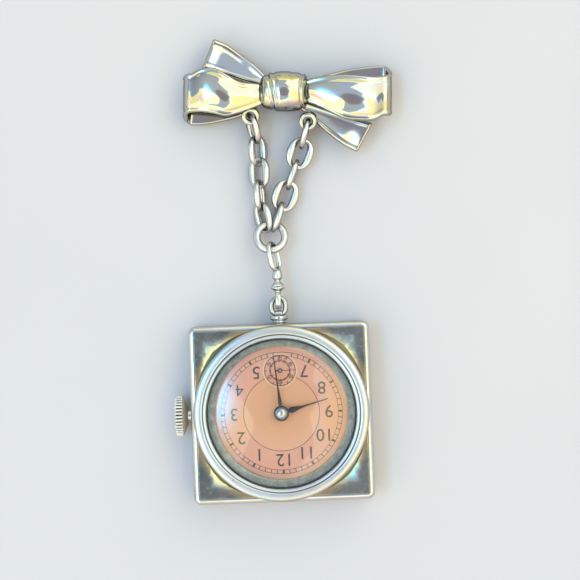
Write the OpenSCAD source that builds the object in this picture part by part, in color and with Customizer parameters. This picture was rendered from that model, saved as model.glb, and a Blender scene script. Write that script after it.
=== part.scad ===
// Chatelaine watch pin: a ribbon bow brooch from which a square watch hangs on two short chains.
// Millimetres. It lies on its back: X to the right, Y up towards the bow, Z away from the surface.
// The origin is on the surface, under the centre of the watch.

/* [Case] */
// Width of the square case
case_w = 24; // [24:0.1:25]
// Length of the case, from the pendant side to the far side
case_l = 23.6; // [23.6:0.1:24.6]
// Height of the case up to its flat corner plates
case_h = 5.4; // [5.4:0.1:6]
// Radius of the four upright corners
case_corner = 1; // [0.7:0.1:1.6]
// Rounding between the corner plates and the side walls
case_edge = 0.6; // [0.3:0.1:0.8]
// Thickness of the closed back
back_t = 0.9; // [0.7:0.1:1]
// Room between the crystal's radius and the round pocket for the movement
pocket_room = 0.26; // [0.26:0.05:0.41]

/* [Bezel and crystal] */
// Radius of the crystal
crystal_r = 9.84; // [9.8:0.01:9.86]
// Width of the bezel outside the crystal
bezel_w = 1.76; // [1.7:0.02:1.84]
// Height of the bezel above the corner plates
bezel_h = 1.5; // [1.4:0.1:1.8]
// Width of the broad flat band
band_w = 1.15; // [1:0.05:1.2]
// Radius of the small round bead inside the band
bead_r = 0.26; // [0.2:0.02:0.3]
// Width of the bezel's ledge under the crystal
ledge_w = 1.09; // [0.95:0.02:1.2]
// Wall thickness of the crystal
crystal_t = 0.7; // [0.6:0.05:0.8]
// Rise of the crystal's steep shoulder
shoulder_h = 0.85; // [0.7:0.05:1]
// Rise of the crystal's dome inside the shoulder
dome_h = 0.9; // [0.8:0.1:1.2]

/* [Dial and hands] */
// Gap between the dial plate's edge and the crystal's radius
dial_gap = 0.14; // [0:0.02:0.4]
// Thickness of the dial plate
dial_t = 0.4; // [0.3:0.05:0.45]
// Radius of the sunk seconds dial
seconds_dial_r = 2.1; // [1.9:0.05:2.2]
// Distance of the seconds dial from the centre
seconds_dial_y = 5.6; // [5.4:0.1:5.9]
// Depth of the sunk seconds dial
seconds_sink = 0.12; // [0.08:0.02:0.2]
// Length of the minute hand
minute_len = 7.9; // [7:0.1:8]
// Length of the hour hand
hour_len = 6.4; // [5.5:0.1:6.6]
// Greatest width of the leaf of the hour hand
leaf_w = 0.8; // [0.7:0.02:1]
// Length of the seconds hand
seconds_len = 1.6; // [1.3:0.1:1.7]
// Thickness of the hour and minute hands
hand_t = 0.15; // [0.12:0.01:0.18]
// Height of the hour hand above the dial
hour_lift = 0.5; // [0.45:0.05:0.55]
// Hour shown
shown_hour = 8; // [0:1:11]
// Minute shown
shown_minute = 29; // [0:1:59]
// Second shown
shown_second = 45; // [0:1:59]

/* [Crown] */
// Radius of the crown
crown_r = 2.7; // [2.4:0.05:2.9]
// Width of the fluted rim
crown_rim = 1.1; // [1:0.05:1.3]
// Width of the tapered skirt behind the rim
crown_skirt = 0.55; // [0.45:0.05:0.6]
// Number of flutes
flutes = 36; // [24:2:44]
// Depth of a flute
flute_depth = 0.14; // [0.08:0.02:0.2]
// Radius of the crown tube
tube_r = 0.7; // [0.65:0.01:0.75]
// Radius of the crown stem
stem_r = 0.45; // [0.4:0.01:0.5]
// Gap between the crown's skirt and the case wall
crown_gap = 0.5; // [0.4:0.05:0.7]

/* [Pendant and bail] */
// Distance from the case's wall up to the swivel's flange
swivel_rise = 4.82; // [4.8:0.01:4.84]
// Radius of the pendant's collar
collar_r = 1.22; // [1.1:0.02:1.3]
// Radius of the pendant's round head
head_r = 0.54; // [0.52:0.01:0.56]
// Width of the pendant's head
head_w = 0.9; // [0.8:0.05:1]
// Height of the pendant's axis above the surface
pendant_z = 3; // [2.95:0.01:3.05]
// Width of the bail outside
bail_w = 2.6; // [2.5:0.05:2.7]
// Length of the bail between the middles of its two ends
bail_pitch = 2.14; // [2.1:0.01:2.16]
// Wire of the bail at its sides
bail_wire = 0.68; // [0.62:0.01:0.7]
// Wire of the bail at its lower end, inside the pendant
bail_pin = 0.46; // [0.42:0.01:0.48]

/* [Swivel and ring] */
// Width of the swivel's flange
flange_w = 1.8; // [1.6:0.05:1.9]
// Thickness of the swivel's eye
eye_t = 0.77; // [0.7:0.01:0.8]
// Gap between the flange and the bell
swivel_gap = 0.18; // [0.14:0.02:0.2]
// Width of the bell's rim
bell_w = 1.58; // [1.5:0.02:1.7]
// Length of the long swivel loop outside
loop_len = 4.2; // [4.1:0.05:4.25]
// Width of the long swivel loop outside
loop_w = 2.8; // [2.75:0.01:2.9]
// Wire of the long swivel loop
loop_wire = 0.62; // [0.58:0.01:0.63]
// Lean of the long loop towards the left
loop_lean = 11; // [10:1:12]
// Turn of the long loop about its length
loop_turn = 62; // [60:1:64]
// Distance from the case's wall up to the jump ring's middle
ring_rise = 11.59; // [11.57:0.01:11.61]
// Outer width of the jump ring
ring_od = 4.67; // [4.6:0.01:4.7]
// Wire of the jump ring
ring_wire = 0.95; // [0.85:0.01:0.96]
// Tilt of the jump ring, its watch side up
ring_tilt = 18; // [16:1:19]

/* [Chains] */
// Length of a link outside
link_len = 4.3; // [4.28:0.01:4.34]
// Width of a link outside
link_w = 3.6; // [3.5:0.01:3.62]
// Wire of a link at its two ends
link_end = 0.58; // [0.56:0.01:0.6]
// Wire of a link at its broad sides
link_side = 1.02; // [0.96:0.01:1.03]
// Thickness of a link at its broad sides
link_t = 0.86; // [0.8:0.01:0.87]
// Thickness of a link at its two ends, where it hooks the next
link_end_t = 0.5; // [0.46:0.01:0.52]
// Distance between the centres of two links
link_pitch = 3; // [2.98:0.01:3.02]
// Height of the chains' centre line above the surface
chain_z = 1.86; // [1.86:0.01:1.9]

/* [Bow] */
// Length of the left loop from the knot's centre
left_len = 13.1; // [12.8:0.1:13.4]
// Length of the right loop from the knot's centre
right_len = 13.9; // [13.6:0.1:14.2]
// Width of the ribbon
ribbon_w = 6.3; // [6.1:0.05:6.5]
// Thickness of the ribbon metal
ribbon_t = 0.6; // [0.55:0.05:0.65]
// Height of the bow's front above the surface
bow_h = 6.3; // [6.2:0.05:6.4]
// Width of the knot band
knot_w = 5.3; // [5.1:0.1:5.5]
// Breadth of the knot, from its upper to its lower side
knot_b = 5.3; // [5.1:0.1:5.4]
// Turn of the bow against the watch, clockwise
bow_turn = 2.2; // [2:0.1:2.4]
// Outer width of the bow's two chain eyes
bow_eye_od = 2.4; // [2.35:0.01:2.45]
// Hole of the chain eyes
bow_eye_hole = 1.2; // [1.18:0.01:1.22]
// Thickness of the chain eyes
bow_eye_t = 0.85; // [0.8:0.01:0.88]
// Tilt of the chain eyes, their bow side up
bow_eye_tilt = 20; // [18:1:26]

/* [Brooch pin] */
// Length of the bar
bar_l = 24.5; // [23:0.1:25]
// Width of the bar
bar_w = 1.6; // [1.4:0.05:1.8]
// Thickness of the bar
bar_t = 0.5; // [0.4:0.05:0.55]
// Thickness of the pin stem
pin_d = 0.75; // [0.6:0.05:0.8]

/* [Fits] */
// Gap between pieces that sit on each other
seat = 0.03; // [0.02:0.005:0.04]
// Radial clearance of what turns or slides
run = 0.04; // [0.03:0.005:0.05]

/* [Hidden] */
$fn = 64;

silver = [0.80, 0.80, 0.78];
grey_silver = [0.68, 0.68, 0.67];
salmon = [0.92, 0.69, 0.54];
blued = [0.10, 0.12, 0.18];
glass = [0.85, 0.92, 0.96, 0.35];

// Radii of the watch head, counted from the crystal
bezel_r = crystal_r + bezel_w;
pocket_r = crystal_r + pocket_room;
opening_r = crystal_r - ledge_w;
dial_r = crystal_r - dial_gap;

// Heights inside the watch
movement_z = back_t + seat;
dial_top = case_h - 0.37;
dial_z = dial_top - dial_t;
movement_top = dial_z - seat;
bezel_z = case_h + seat;
bezel_top = case_h + bezel_h;
crystal_seat = bezel_top - 0.7;
hour_z = dial_top + hour_lift;
minute_z = hour_z + hand_t + 0.25;
post_head_z = minute_z + hand_t + 0.06;

// Turning radii of the hands
hub_r = 1;
hour_post_r = 0.7;
minute_post_r = 0.44;
post_head_r = 0.56;
seconds_post_r = 0.13;
seconds_hub_r = 0.3;
wheel_r = 1.3;
wheel_t = 0.5;
wheel_z = movement_top - 0.2 - wheel_t;
pivot_l = 0.4;

// Hand directions, counted from 12, which points away from the bow
minute_angle = 270 - 6 * shown_minute;
hour_angle = 270 - 30 * (shown_hour + shown_minute / 60);
seconds_angle = 270 - 6 * shown_second;

// Crown places along X, counted from the case's left wall outwards
crown_z = 3;
wall_x = -case_w / 2;
skirt_x = wall_x - crown_gap;
rim_x = skirt_x - crown_skirt;
crown_end = rim_x - crown_rim;
tube_x = skirt_x - 0.12;
stem_inner = -7.5;
bore_r = stem_r + run;

// The row of parts above the case, counted from its upper wall
top_y = case_l / 2;
pendant_base = 0.55;
pendant_collar = 0.5;
hang_x = 0.12;
pin_y = top_y + pendant_base + pendant_collar + 0.16;
bail_top_y = pin_y + bail_pitch;
swivel_y = top_y + swivel_rise;
bell_y = swivel_y + swivel_gap;
loop_y = bell_y + 1.95;
ring_y = top_y + ring_rise;
ring_x = -0.55;
ring_r = (ring_od - ring_wire) / 2;
ring_z = pendant_z - ring_r * sin(ring_tilt);

// Where the two chains hook the ring: angle round the ring, then the last link's heading
LEFT_HOOK = [121, 102];
RIGHT_HOOK = [68, 70];
hook_r = ring_r - ring_wire / 2 - link_end / 2 - 0.07;
link_reach = link_len / 2 - link_end / 2;

// Headings of the steps from the ring up to the bow, in degrees from X
LEFT_STEPS = [96.5, 89.5, 91.5];
RIGHT_STEPS = [68, 68.5, 69];

// Turn of each link about its own length, from the bow down to the ring
LEFT_TURNS = [108, 52, 138, 74, 125];
RIGHT_TURNS = [90, 8, 88, 12, 96];

// Bow: place of the knot, heights and eyes
knot_x = 1.95;
bow_eye_z = 3.4;
// Eye places from the knot: x, y
EYES = [[-4.45, -3.2], [3.2, -3.86]];

// The knot's place follows from the left chain: its eye lies one run of the first link beyond the second link
first_share = 0.9765;
first_slope = asin((bow_eye_z - chain_z) / (link_pitch / 2 + link_reach));
first_run = link_reach * cos(first_slope) + first_share * link_pitch;
left_second = link_place(2, LEFT_HOOK, LEFT_STEPS);
left_eye_x = knot_x + EYES[0].x * cos(bow_turn) + EYES[0].y * sin(bow_turn);
left_eye_y = left_second.y + sqrt(pow(first_run, 2) - pow(left_eye_x - left_second.x, 2));
knot_y = left_eye_y + EYES[0].x * sin(bow_turn) - EYES[0].y * cos(bow_turn);

// The ribbon of each loop runs out from the knot in front and back again behind
// Share of loop length, lower and upper edge in ribbon widths, height in bow heights, bulge in ribbon widths
LEFT_FRONT = [
    [0.15, -0.21, 0.14, 0.64, 0.03],
    [0.30, -0.36, 0.17, 0.73, 0.07],
    [0.46, -0.48, 0.21, 0.79, 0.10],
    [0.58, -0.54, 0.35, 0.82, 0.12],
    [0.70, -0.49, 0.48, 0.82, 0.12],
    [0.82, -0.45, 0.48, 0.79, 0.10],
    [0.93, -0.45, 0.38, 0.71, 0.06]
];
LEFT_BACK = [
    [0.93, -0.69, 0.30, 0.36, 0],
    [0.82, -0.68, 0.41, 0.35, 0],
    [0.65, -0.62, 0.38, 0.35, 0],
    [0.42, -0.49, 0.19, 0.37, 0],
    [0.18, -0.24, 0.10, 0.44, 0]
];
RIGHT_FRONT = [
    [0.16, -0.21, 0.21, 0.64, 0.03],
    [0.30, -0.29, 0.30, 0.73, 0.07],
    [0.45, -0.33, 0.46, 0.79, 0.10],
    [0.59, -0.35, 0.60, 0.82, 0.12],
    [0.73, -0.33, 0.63, 0.82, 0.12],
    [0.85, -0.31, 0.62, 0.79, 0.10],
    [0.94, -0.33, 0.52, 0.71, 0.06]
];
RIGHT_BACK = [
    [0.94, -0.58, 0.46, 0.36, 0],
    [0.80, -0.56, 0.56, 0.35, 0],
    [0.61, -0.50, 0.52, 0.35, 0],
    [0.43, -0.40, 0.40, 0.37, 0],
    [0.22, -0.24, 0.16, 0.44, 0]
];
// Tails: outer edge out and up, inner edge out and up, all in ribbon widths, then height in bow heights
LEFT_TAIL = [
    [0.35, 0.32, 0.41, 0.10, 0.46],
    [0.63, 0.60, 0.73, 0.19, 0.44],
    [0.94, 0.83, 1.05, 0.29, 0.42],
    [1.21, 1.02, 1.37, 0.38, 0.42],
    [1.45, 1.12, 1.69, 0.48, 0.45]
];
RIGHT_TAIL = [
    [0.37, 0.37, 0.41, 0.16, 0.46],
    [0.67, 0.64, 0.78, 0.29, 0.44],
    [0.97, 0.90, 1.13, 0.41, 0.42],
    [1.25, 1.11, 1.48, 0.54, 0.42],
    [1.51, 1.25, 1.83, 0.65, 0.45]
];
// Knot: place along X and half breadth and half depth, all as shares of half the knot's sizes
KNOT = [
    [-1.12, 0.62, 0.50],
    [-0.95, 0.80, 0.76],
    [-0.62, 0.91, 0.90],
    [-0.20, 0.99, 0.99],
    [0.20, 1.00, 1.00],
    [0.58, 0.95, 0.94],
    [0.80, 0.88, 0.88],
    [1.00, 0.78, 0.74],
    [1.10, 0.60, 0.50]
];
knot_z = 4.1;
knot_depth = 2 * (bow_h - knot_z);
ribbon_cols = 9;
bend_steps = 3;
tail_fold = 0.1;

// Points and shapes used by several pieces

// Unit vector at an angle in the plane of the surface
function heading(a) = [cos(a), sin(a), 0];

// Place on the jump ring's plane at a radius and an angle
function on_ring(r, a) = [
    ring_x + r * cos(a),
    ring_y + r * sin(a) * cos(ring_tilt),
    chain_z
];

// Power curve that squares an oval: more than 1 fills its corners
function squared(c, fullness) = sign(c) * pow(abs(c), 1 / fullness);

// One ring of points round the wire of an oval loop, at angle a round the loop
function wire_section(a, outer, hole, t, end_t, sides) =
    let (
        o = [outer.x / 2 * squared(cos(a), 1.12), outer.y / 2 * squared(sin(a), 1.12)],
        i = [hole.x / 2 * squared(cos(a), 1.7), hole.y / 2 * squared(sin(a), 1.7)],
        mid = (o + i) / 2,
        half = (o - i) / 2,
        thick = end_t + (t - end_t) * pow(cos(a), 2)
    )
    [for (k = [0 : sides - 1])
        let (b = 360 * k / sides)
        [mid.x + half.x * cos(b), mid.y + half.y * cos(b), thick / 2 * sin(b)]];

function loop_faces(rows, cols) = [
    for (i = [0 : rows - 1], j = [0 : cols - 1])
        let (
            a = i * cols + j,
            b = i * cols + (j + 1) % cols,
            c = ((i + 1) % rows) * cols + (j + 1) % cols,
            d = ((i + 1) % rows) * cols + j
        )
        each [[a, b, c], [a, c, d]]
];

// Closed oval loop of wire in the XY plane, its length along Y
module oval_loop(outer, hole, t, end_t, steps = 16, sides = 6) {
    rings = [for (i = [0 : steps - 1]) wire_section(360 * i / steps, outer, hole, t, end_t, sides)];
    polyhedron(points = [for (r = rings) each r], faces = loop_faces(steps, sides), convexity = 6);
}

// Unit vector across a grid of points at row i and column j
function grid_normal(g, i, j) =
    let (
        m = len(g) - 1,
        n = len(g[0]) - 1,
        along = g[min(i + 1, m)][j] - g[max(i - 1, 0)][j],
        across = g[i][min(j + 1, n)] - g[i][max(j - 1, 0)],
        c = cross(along, across)
    )
    c / norm(c);

// Two triangles for one cell, given by its four corners
function cell(a, b, c, d) = [[a, b, c], [a, c, d]];

// Closed solid of a curved sheet whose middle is a grid of points
module sheet(g, t) {
    m = len(g);
    n = len(g[0]);
    all = m * n;
    front = [for (i = [0 : m - 1], j = [0 : n - 1]) g[i][j] + grid_normal(g, i, j) * t / 2];
    behind = [for (i = [0 : m - 1], j = [0 : n - 1]) g[i][j] - grid_normal(g, i, j) * t / 2];
    faces = [
        for (i = [0 : m - 2], j = [0 : n - 2])
            let (a = i * n + j, b = a + 1, c = a + n + 1, d = a + n)
            each concat(cell(a, b, c, d), cell(all + a, all + d, all + c, all + b)),
        for (i = [0 : m - 2])
            let (a = i * n, d = a + n, b = a + n - 1, c = d + n - 1)
            each concat(cell(a, d, all + d, all + a), cell(b, all + b, all + c, c)),
        for (j = [0 : n - 2])
            let (a = j, b = j + 1, d = (m - 1) * n + j, c = d + 1)
            each concat(cell(a, all + a, all + b, b), cell(d, c, all + c, all + d))
    ];
    polyhedron(points = concat(front, behind), faces = faces, convexity = 8);
}

// A row across the ribbon of one loop, side -1 for the left loop and 1 for the right
function ribbon_row(row, side, loop_l) = [
    for (k = [0 : ribbon_cols - 1])
        let (
            w = k / (ribbon_cols - 1),
            v = ribbon_w * (row[1] + (row[2] - row[1]) * w),
            arch = 1 - pow(2 * w - 1, 2),
            u = loop_l * row[0]
        )
        [side * u, -side * v, bow_h * row[3] + ribbon_w * row[4] * (arch - 0.5)]
];

// Rows round the outer bend, between the last front row and the first back row
function bend_row(front, behind, s) =
    let (
        a = 180 * s,
        mix = (1 - cos(a)) / 2,
        out = 0.07 * sin(a)
    )
    [
        front[0] + (behind[0] - front[0]) * mix + out,
        front[1] + (behind[1] - front[1]) * mix,
        front[2] + (behind[2] - front[2]) * mix,
        front[3] + (behind[3] - front[3]) * mix,
        front[4] * (1 - s)
    ];

module ribbon_loop(front, behind, side, loop_l) {
    last = front[len(front) - 1];
    bend = [for (i = [1 : bend_steps]) bend_row(last, behind[0], i / (bend_steps + 1))];
    rows = [for (r = concat(front, bend, behind)) ribbon_row(r, side, loop_l)];
    sheet(rows, ribbon_t);
}

// A row across a tail, with a lengthwise fold in its middle
function tail_row(row, side) = [
    for (k = [0 : 4])
        let (
            w = k / 4,
            u = ribbon_w * (row[0] + (row[2] - row[0]) * w),
            v = ribbon_w * (row[1] + (row[3] - row[1]) * w),
            fold = 1 - abs(2 * w - 1)
        )
        [side * u, -side * v, bow_h * (row[4] + tail_fold * fold)]
];

module tail(table, side) {
    sheet([for (r = table) tail_row(r, side)], ribbon_t);
}

// The knot band, an oval barrel with its length along X
module knot_band() {
    sides = 20;
    rows = len(KNOT);
    points = [
        for (r = KNOT, k = [0 : sides - 1])
            let (a = 360 * k / sides)
            [
                knot_w / 2 * r[0],
                knot_b / 2 * r[1] * squared(cos(a), 1.2),
                knot_z + knot_depth / 2 * r[2] * squared(sin(a), 1.2)
            ]
    ];
    walls = [
        for (i = [0 : rows - 2], j = [0 : sides - 1])
            let (a = i * sides + j, b = i * sides + (j + 1) % sides)
            each cell(a, a + sides, b + sides, b)
    ];
    ends = [
        for (j = [1 : sides - 2]) [0, j, j + 1],
        for (j = [1 : sides - 2]) let (e = (rows - 1) * sides) [e, e + j + 1, e + j]
    ];
    polyhedron(points = points, faces = concat(walls, ends), convexity = 4);
}

// Short tube that a chain's first link passes through, with its post behind the ribbon
module chain_eye(place) {
    translate([place.x, place.y, bow_eye_z]) rotate([bow_eye_tilt, 0, 0]) {
        rotate_extrude() {
            translate([bow_eye_hole / 2, -bow_eye_t / 2]) {
                polygon([
                    [0.08, 0],
                    [(bow_eye_od - bow_eye_hole) / 2 - 0.1, 0],
                    [(bow_eye_od - bow_eye_hole) / 2, 0.1],
                    [(bow_eye_od - bow_eye_hole) / 2, bow_eye_t - 0.1],
                    [(bow_eye_od - bow_eye_hole) / 2 - 0.1, bow_eye_t],
                    [0.08, bow_eye_t],
                    [0, bow_eye_t - 0.08],
                    [0, 0.08]
                ]);
            }
        }
    }
    translate([place.x, place.y + bow_eye_od / 2 - 0.12, bow_h * 0.37]) {
        cylinder(h = bow_eye_z + bow_eye_t / 2 - bow_h * 0.37 - 0.1, r = 0.34, $fn = 24);
    }
}

module bow() {
    color(silver) translate([knot_x, knot_y, 0]) rotate(-bow_turn) {
        ribbon_loop(LEFT_FRONT, LEFT_BACK, -1, left_len);
        ribbon_loop(RIGHT_FRONT, RIGHT_BACK, 1, right_len);
        tail(LEFT_TAIL, -1);
        tail(RIGHT_TAIL, 1);
        knot_band();
        for (place = EYES) {
            chain_eye(place);
        }
        for (x = [-bar_l / 2 + 3, bar_l / 2 - 3]) {
            translate([x, pin_mid_y, pin_top + seat]) {
                cylinder(h = bow_h * 0.35 - pin_top - seat, r = 0.7, $fn = 24);
            }
        }
    }
}

// Brooch pin: bar with joint, stem and catch in one piece
pin_mid_y = -0.5;
pin_top = 1.75;
pin_z = pin_d / 2 + 0.08;
joint_r = 0.75;

module brooch_pin() {
    color(grey_silver) translate([knot_x, knot_y, 0]) rotate(-bow_turn) translate([0, pin_mid_y, 0]) {
        translate([-bar_l / 2, -bar_w / 2, pin_top - bar_t]) {
            cube([bar_l, bar_w, bar_t]);
        }
        translate([-bar_l / 2, bar_w / 2, joint_r + 0.05]) {
            rotate([90, 0, 0]) cylinder(h = bar_w, r = joint_r, $fn = 32);
        }
        translate([-bar_l / 2 - joint_r, -bar_w / 2, joint_r]) {
            cube([2 * joint_r, bar_w, pin_top - joint_r]);
        }
        translate([-bar_l / 2, 0, pin_z]) {
            rotate([0, 90, 0]) cylinder(h = bar_l + 0.8, r = pin_d / 2, $fn = 24);
        }
        translate([bar_l / 2 + 1.25, 0, 0.05]) {
            cylinder(h = pin_top - 0.05, r = 0.85, $fn = 32);
        }
        translate([bar_l / 2 - 0.2, -bar_w / 2, pin_top - bar_t]) {
            cube([1.5, bar_w, bar_t]);
        }
    }
}

// Chains

hole_size = [link_w - 2 * link_side, link_len - 2 * link_end];

// Centre of the link that hooks the ring, and its heading
function hook_place(hook) = on_ring(hook_r, hook[0]) + link_reach * heading(hook[1]);

// Centre of link n, counted from 1 at the bow down to 5 at the ring
function link_place(n, hook, steps) =
    n == 5 ? hook_place(hook) : link_place(n + 1, hook, steps) + link_pitch * heading(steps[4 - n]);

// Turn a shape whose length is along Y to a heading, a slope and a turn about its own length
module along(place, a, slope, turn) {
    translate(place) rotate(a - 90) rotate([slope, 0, 0]) rotate([0, turn, 0]) children();
}

module link() {
    oval_loop([link_w, link_len], hole_size, link_t, link_end_t);
}

function eye_place(eye) = [
    knot_x + eye.x * cos(bow_turn) + eye.y * sin(bow_turn),
    knot_y - eye.x * sin(bow_turn) + eye.y * cos(bow_turn),
    bow_eye_z
];

// A link between the second one and the bow's eye, rising to the eye
module first_link(second, eye, turn) {
    flat = [eye.x - second.x, eye.y - second.y];
    a = atan2(flat.y, flat.x);
    slope = asin((eye.z - second.z) / (link_pitch / 2 + link_reach));
    run_out = norm(flat) - link_reach * cos(slope);
    along([second.x, second.y, 0] + run_out * heading(a) + [0, 0, eye.z - link_reach * sin(slope)],
          a, slope, turn) link();
}

module chain_link(n, hook, steps, turns, eye) {
    color(grey_silver) {
        if (n == 1) {
            first_link(link_place(2, hook, steps), eye, turns[0]);
        } else {
            up = n == 5 ? hook[1] : n == 2 ? steps[2] : (steps[4 - n] + steps[5 - n]) / 2;
            along(link_place(n, hook, steps), up, 0, turns[n - 1]) link();
        }
    }
}

module link_left(n) {
    chain_link(n, LEFT_HOOK, LEFT_STEPS, LEFT_TURNS, eye_place(EYES[0]));
}

module link_right(n) {
    chain_link(n, RIGHT_HOOK, RIGHT_STEPS, RIGHT_TURNS, eye_place(EYES[1]));
}

module ring() {
    color(grey_silver) translate([ring_x, ring_y, ring_z]) rotate([-ring_tilt, 0, 0]) {
        rotate_extrude() translate([ring_r, 0]) circle(d = ring_wire, $fn = 32);
    }
}

// Swivel: everything is turned about Y, so profiles are drawn as radius and distance along Y
module turned_along_y(place) {
    translate(place) rotate([-90, 0, 0]) rotate_extrude() children();
}

shaft_r = 0.26;
shaft_head_r = 0.42;
bell_top = 1.05;

module swivel_loop() {
    color(grey_silver) {
        turned_along_y([hang_x, bell_y, pendant_z]) {
            polygon([
                [shaft_r + run, 0], [bell_w / 2, 0], [bell_w / 2, 0.12], [0.34, 0.62], [0.34, 0.7],
                [0.62, bell_top], [0.68, bell_top + 0.3], [0.5, loop_y - bell_y + 0.12],
                [0, loop_y - bell_y + 0.2], [0, bell_top + 0.3], [shaft_head_r + run, bell_top + 0.3],
                [shaft_head_r + run, bell_top], [shaft_r + run, 0.6]
            ]);
        }
        along([hang_x, loop_y, pendant_z], 90 + loop_lean, 0, loop_turn) {
            translate([0, loop_len / 2 - 0.12, 0]) {
                oval_loop([loop_w, loop_len], [loop_w - 2 * loop_wire, loop_len - 2 * loop_wire],
                          loop_wire + 0.1, loop_wire, 20, 6);
            }
        }
    }
}

eye_len = 2.35;
eye_w = 1.95;
eye_wire = 0.44;
neck_len = 0.72;
neck_y = swivel_y - neck_len;
shaft_end = neck_len + swivel_gap + bell_top + 0.24;

module swivel_eye() {
    color(grey_silver) {
        turned_along_y([hang_x, neck_y, pendant_z]) {
            polygon([
                [0, -0.12], [0.36, 0], [0.42, 0.22], [flange_w / 2, neck_len - 0.16],
                [flange_w / 2, neck_len], [shaft_r, neck_len], [shaft_r, shaft_end - 0.2],
                [shaft_head_r, shaft_end - 0.2], [shaft_head_r, shaft_end], [0, shaft_end]
            ]);
        }
        along([hang_x, neck_y - eye_len / 2 + 0.12, pendant_z], 90, 0, 90) {
            oval_loop([eye_w, eye_len], [eye_w - 2 * eye_wire, eye_len - 2 * eye_wire], eye_t, eye_t, 20, 8);
        }
    }
}

module bail() {
    steps = 24;
    color(silver) translate([hang_x, (pin_y + bail_top_y) / 2, pendant_z]) {
        rings = [
            for (i = [0 : steps - 1])
                let (
                    a = 360 * i / steps,
                    low = max(0, -sin(a)),
                    wire = bail_wire + (bail_pin - bail_wire) * pow(low, 2),
                    fullness = 1.08 + 0.42 * low
                )
                [for (k = [0 : 7])
                    let (
                        b = 45 * k,
                        r = wire / 2 * cos(b),
                        half_w = (bail_w - bail_wire) / 2 + r,
                        half_l = bail_pitch / 2 + r
                    )
                    [half_w * squared(cos(a), fullness), half_l * squared(sin(a), fullness), wire / 2 * sin(b)]]
        ];
        polyhedron(points = [for (r = rings) each r], faces = loop_faces(steps, 8), convexity = 6);
    }
}

// Watch

// Flat plate of the case's outline, drawn in by some distance
module case_plate(inset, h) {
    linear_extrude(h) offset(r = case_corner - inset) {
        square([case_w - 2 * case_corner, case_l - 2 * case_corner], center = true);
    }
}

module case() {
    color(silver) {
        difference() {
            union() {
                hull() {
                    case_plate(case_edge * 0.7, 0.01);
                    translate([0, 0, case_edge * 0.7]) case_plate(0, case_h - case_edge * 1.7);
                    translate([0, 0, case_h - case_edge * 0.3]) case_plate(case_edge * 0.3, 0.01);
                    translate([0, 0, case_h - 0.01]) case_plate(case_edge, 0.01);
                }
                translate([tube_x, 0, crown_z]) rotate([0, 90, 0]) cylinder(h = wall_x - tube_x + 0.5, r = tube_r);
                pendant();
            }
            translate([0, 0, back_t]) cylinder(h = case_h, r = pocket_r, $fn = 96);
            translate([tube_x - 1, 0, crown_z]) rotate([0, 90, 0]) cylinder(h = 5, r = bore_r);
        }
    }
}

// Stepped pendant with a round head, pierced from side to side for the bail
module pendant() {
    difference() {
        union() {
            turned_along_y([hang_x, top_y - 0.3, pendant_z]) {
                polygon([
                    [0, 0], [1.2, 0], [1.15, 0.3], [0.85, pendant_base + 0.1],
                    [collar_r - 0.1, pendant_base + 0.3], [collar_r, pendant_base + 0.4],
                    [collar_r, pendant_base + pendant_collar + 0.16],
                    [collar_r - 0.12, pendant_base + pendant_collar + 0.3],
                    [0, pendant_base + pendant_collar + 0.3]
                ]);
            }
            translate([hang_x - head_w / 2, pin_y, pendant_z]) {
                rotate([0, 90, 0]) cylinder(h = head_w, r = head_r, $fn = 48);
            }
        }
        translate([hang_x - 2, pin_y, pendant_z]) {
            rotate([0, 90, 0]) cylinder(h = 4, r = bail_pin / 2 + 0.11, $fn = 48);
        }
    }
}

module bezel() {
    bead_x = bezel_r - band_w - bead_r - 0.06;
    color(silver) rotate_extrude($fn = 128) {
        polygon([
            [opening_r, dial_top + seat], [pocket_r - 0.05, dial_top + seat], [pocket_r - 0.05, bezel_z],
            [bezel_r - 0.15, bezel_z], [bezel_r, bezel_z + 0.15], [bezel_r, bezel_z + bezel_h * 0.55],
            [bezel_r - 0.12, bezel_top - 0.28], [bezel_r - 0.4, bezel_top - 0.08],
            [bezel_r - band_w * 0.7, bezel_top], [bezel_r - band_w, bezel_top - 0.04],
            [bezel_r - band_w - 0.06, bezel_top - 0.22], [bead_x, bezel_top - 0.22],
            [crystal_r + 0.04, bezel_top - 0.22], [crystal_r + 0.04, crystal_seat],
            [crystal_r - 0.45, crystal_seat], [opening_r, dial_top + 0.3]
        ]);
        translate([bead_x, bezel_top - 0.12]) circle(r = bead_r, $fn = 24);
    }
}

module crystal() {
    edge = crystal_seat + seat;
    flat_r = crystal_r - 1;
    // The dome is part of a large ball through the shoulder's top and the crown of the glass
    function dome_z(r, rise, base) = base + rise * (1 - pow(r / flat_r, 2));
    outer = [for (i = [0 : 6]) let (r = flat_r * i / 6) [r, dome_z(r, dome_h, edge + 0.55 + shoulder_h)]];
    inner = [
        for (i = [6 : -1 : 0])
            let (r = flat_r * i / 6)
            [r * 0.985, dome_z(r, dome_h, edge + 0.55 + shoulder_h - crystal_t)]
    ];
    color(glass) rotate_extrude($fn = 128) {
        polygon(concat(
            outer,
            [[crystal_r - 0.6, edge + 0.3 + shoulder_h], [crystal_r - 0.2, edge + shoulder_h * 0.7],
             [crystal_r, edge + 0.4], [crystal_r, edge], [crystal_r - 0.4, edge],
             [crystal_r - 0.75, edge + shoulder_h * 0.55]],
            inner
        ));
    }
}

module dial() {
    color(salmon) difference() {
        translate([0, 0, dial_z]) cylinder(h = dial_t, r = dial_r, $fn = 96);
        translate([0, 0, dial_z - 1]) cylinder(h = 3, r = hour_post_r + run);
        translate([0, seconds_dial_y, dial_top - seconds_sink]) cylinder(h = 1, r = seconds_dial_r);
        translate([0, seconds_dial_y, dial_z - 1]) cylinder(h = 3, r = seconds_post_r + run, $fn = 32);
    }
}

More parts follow.
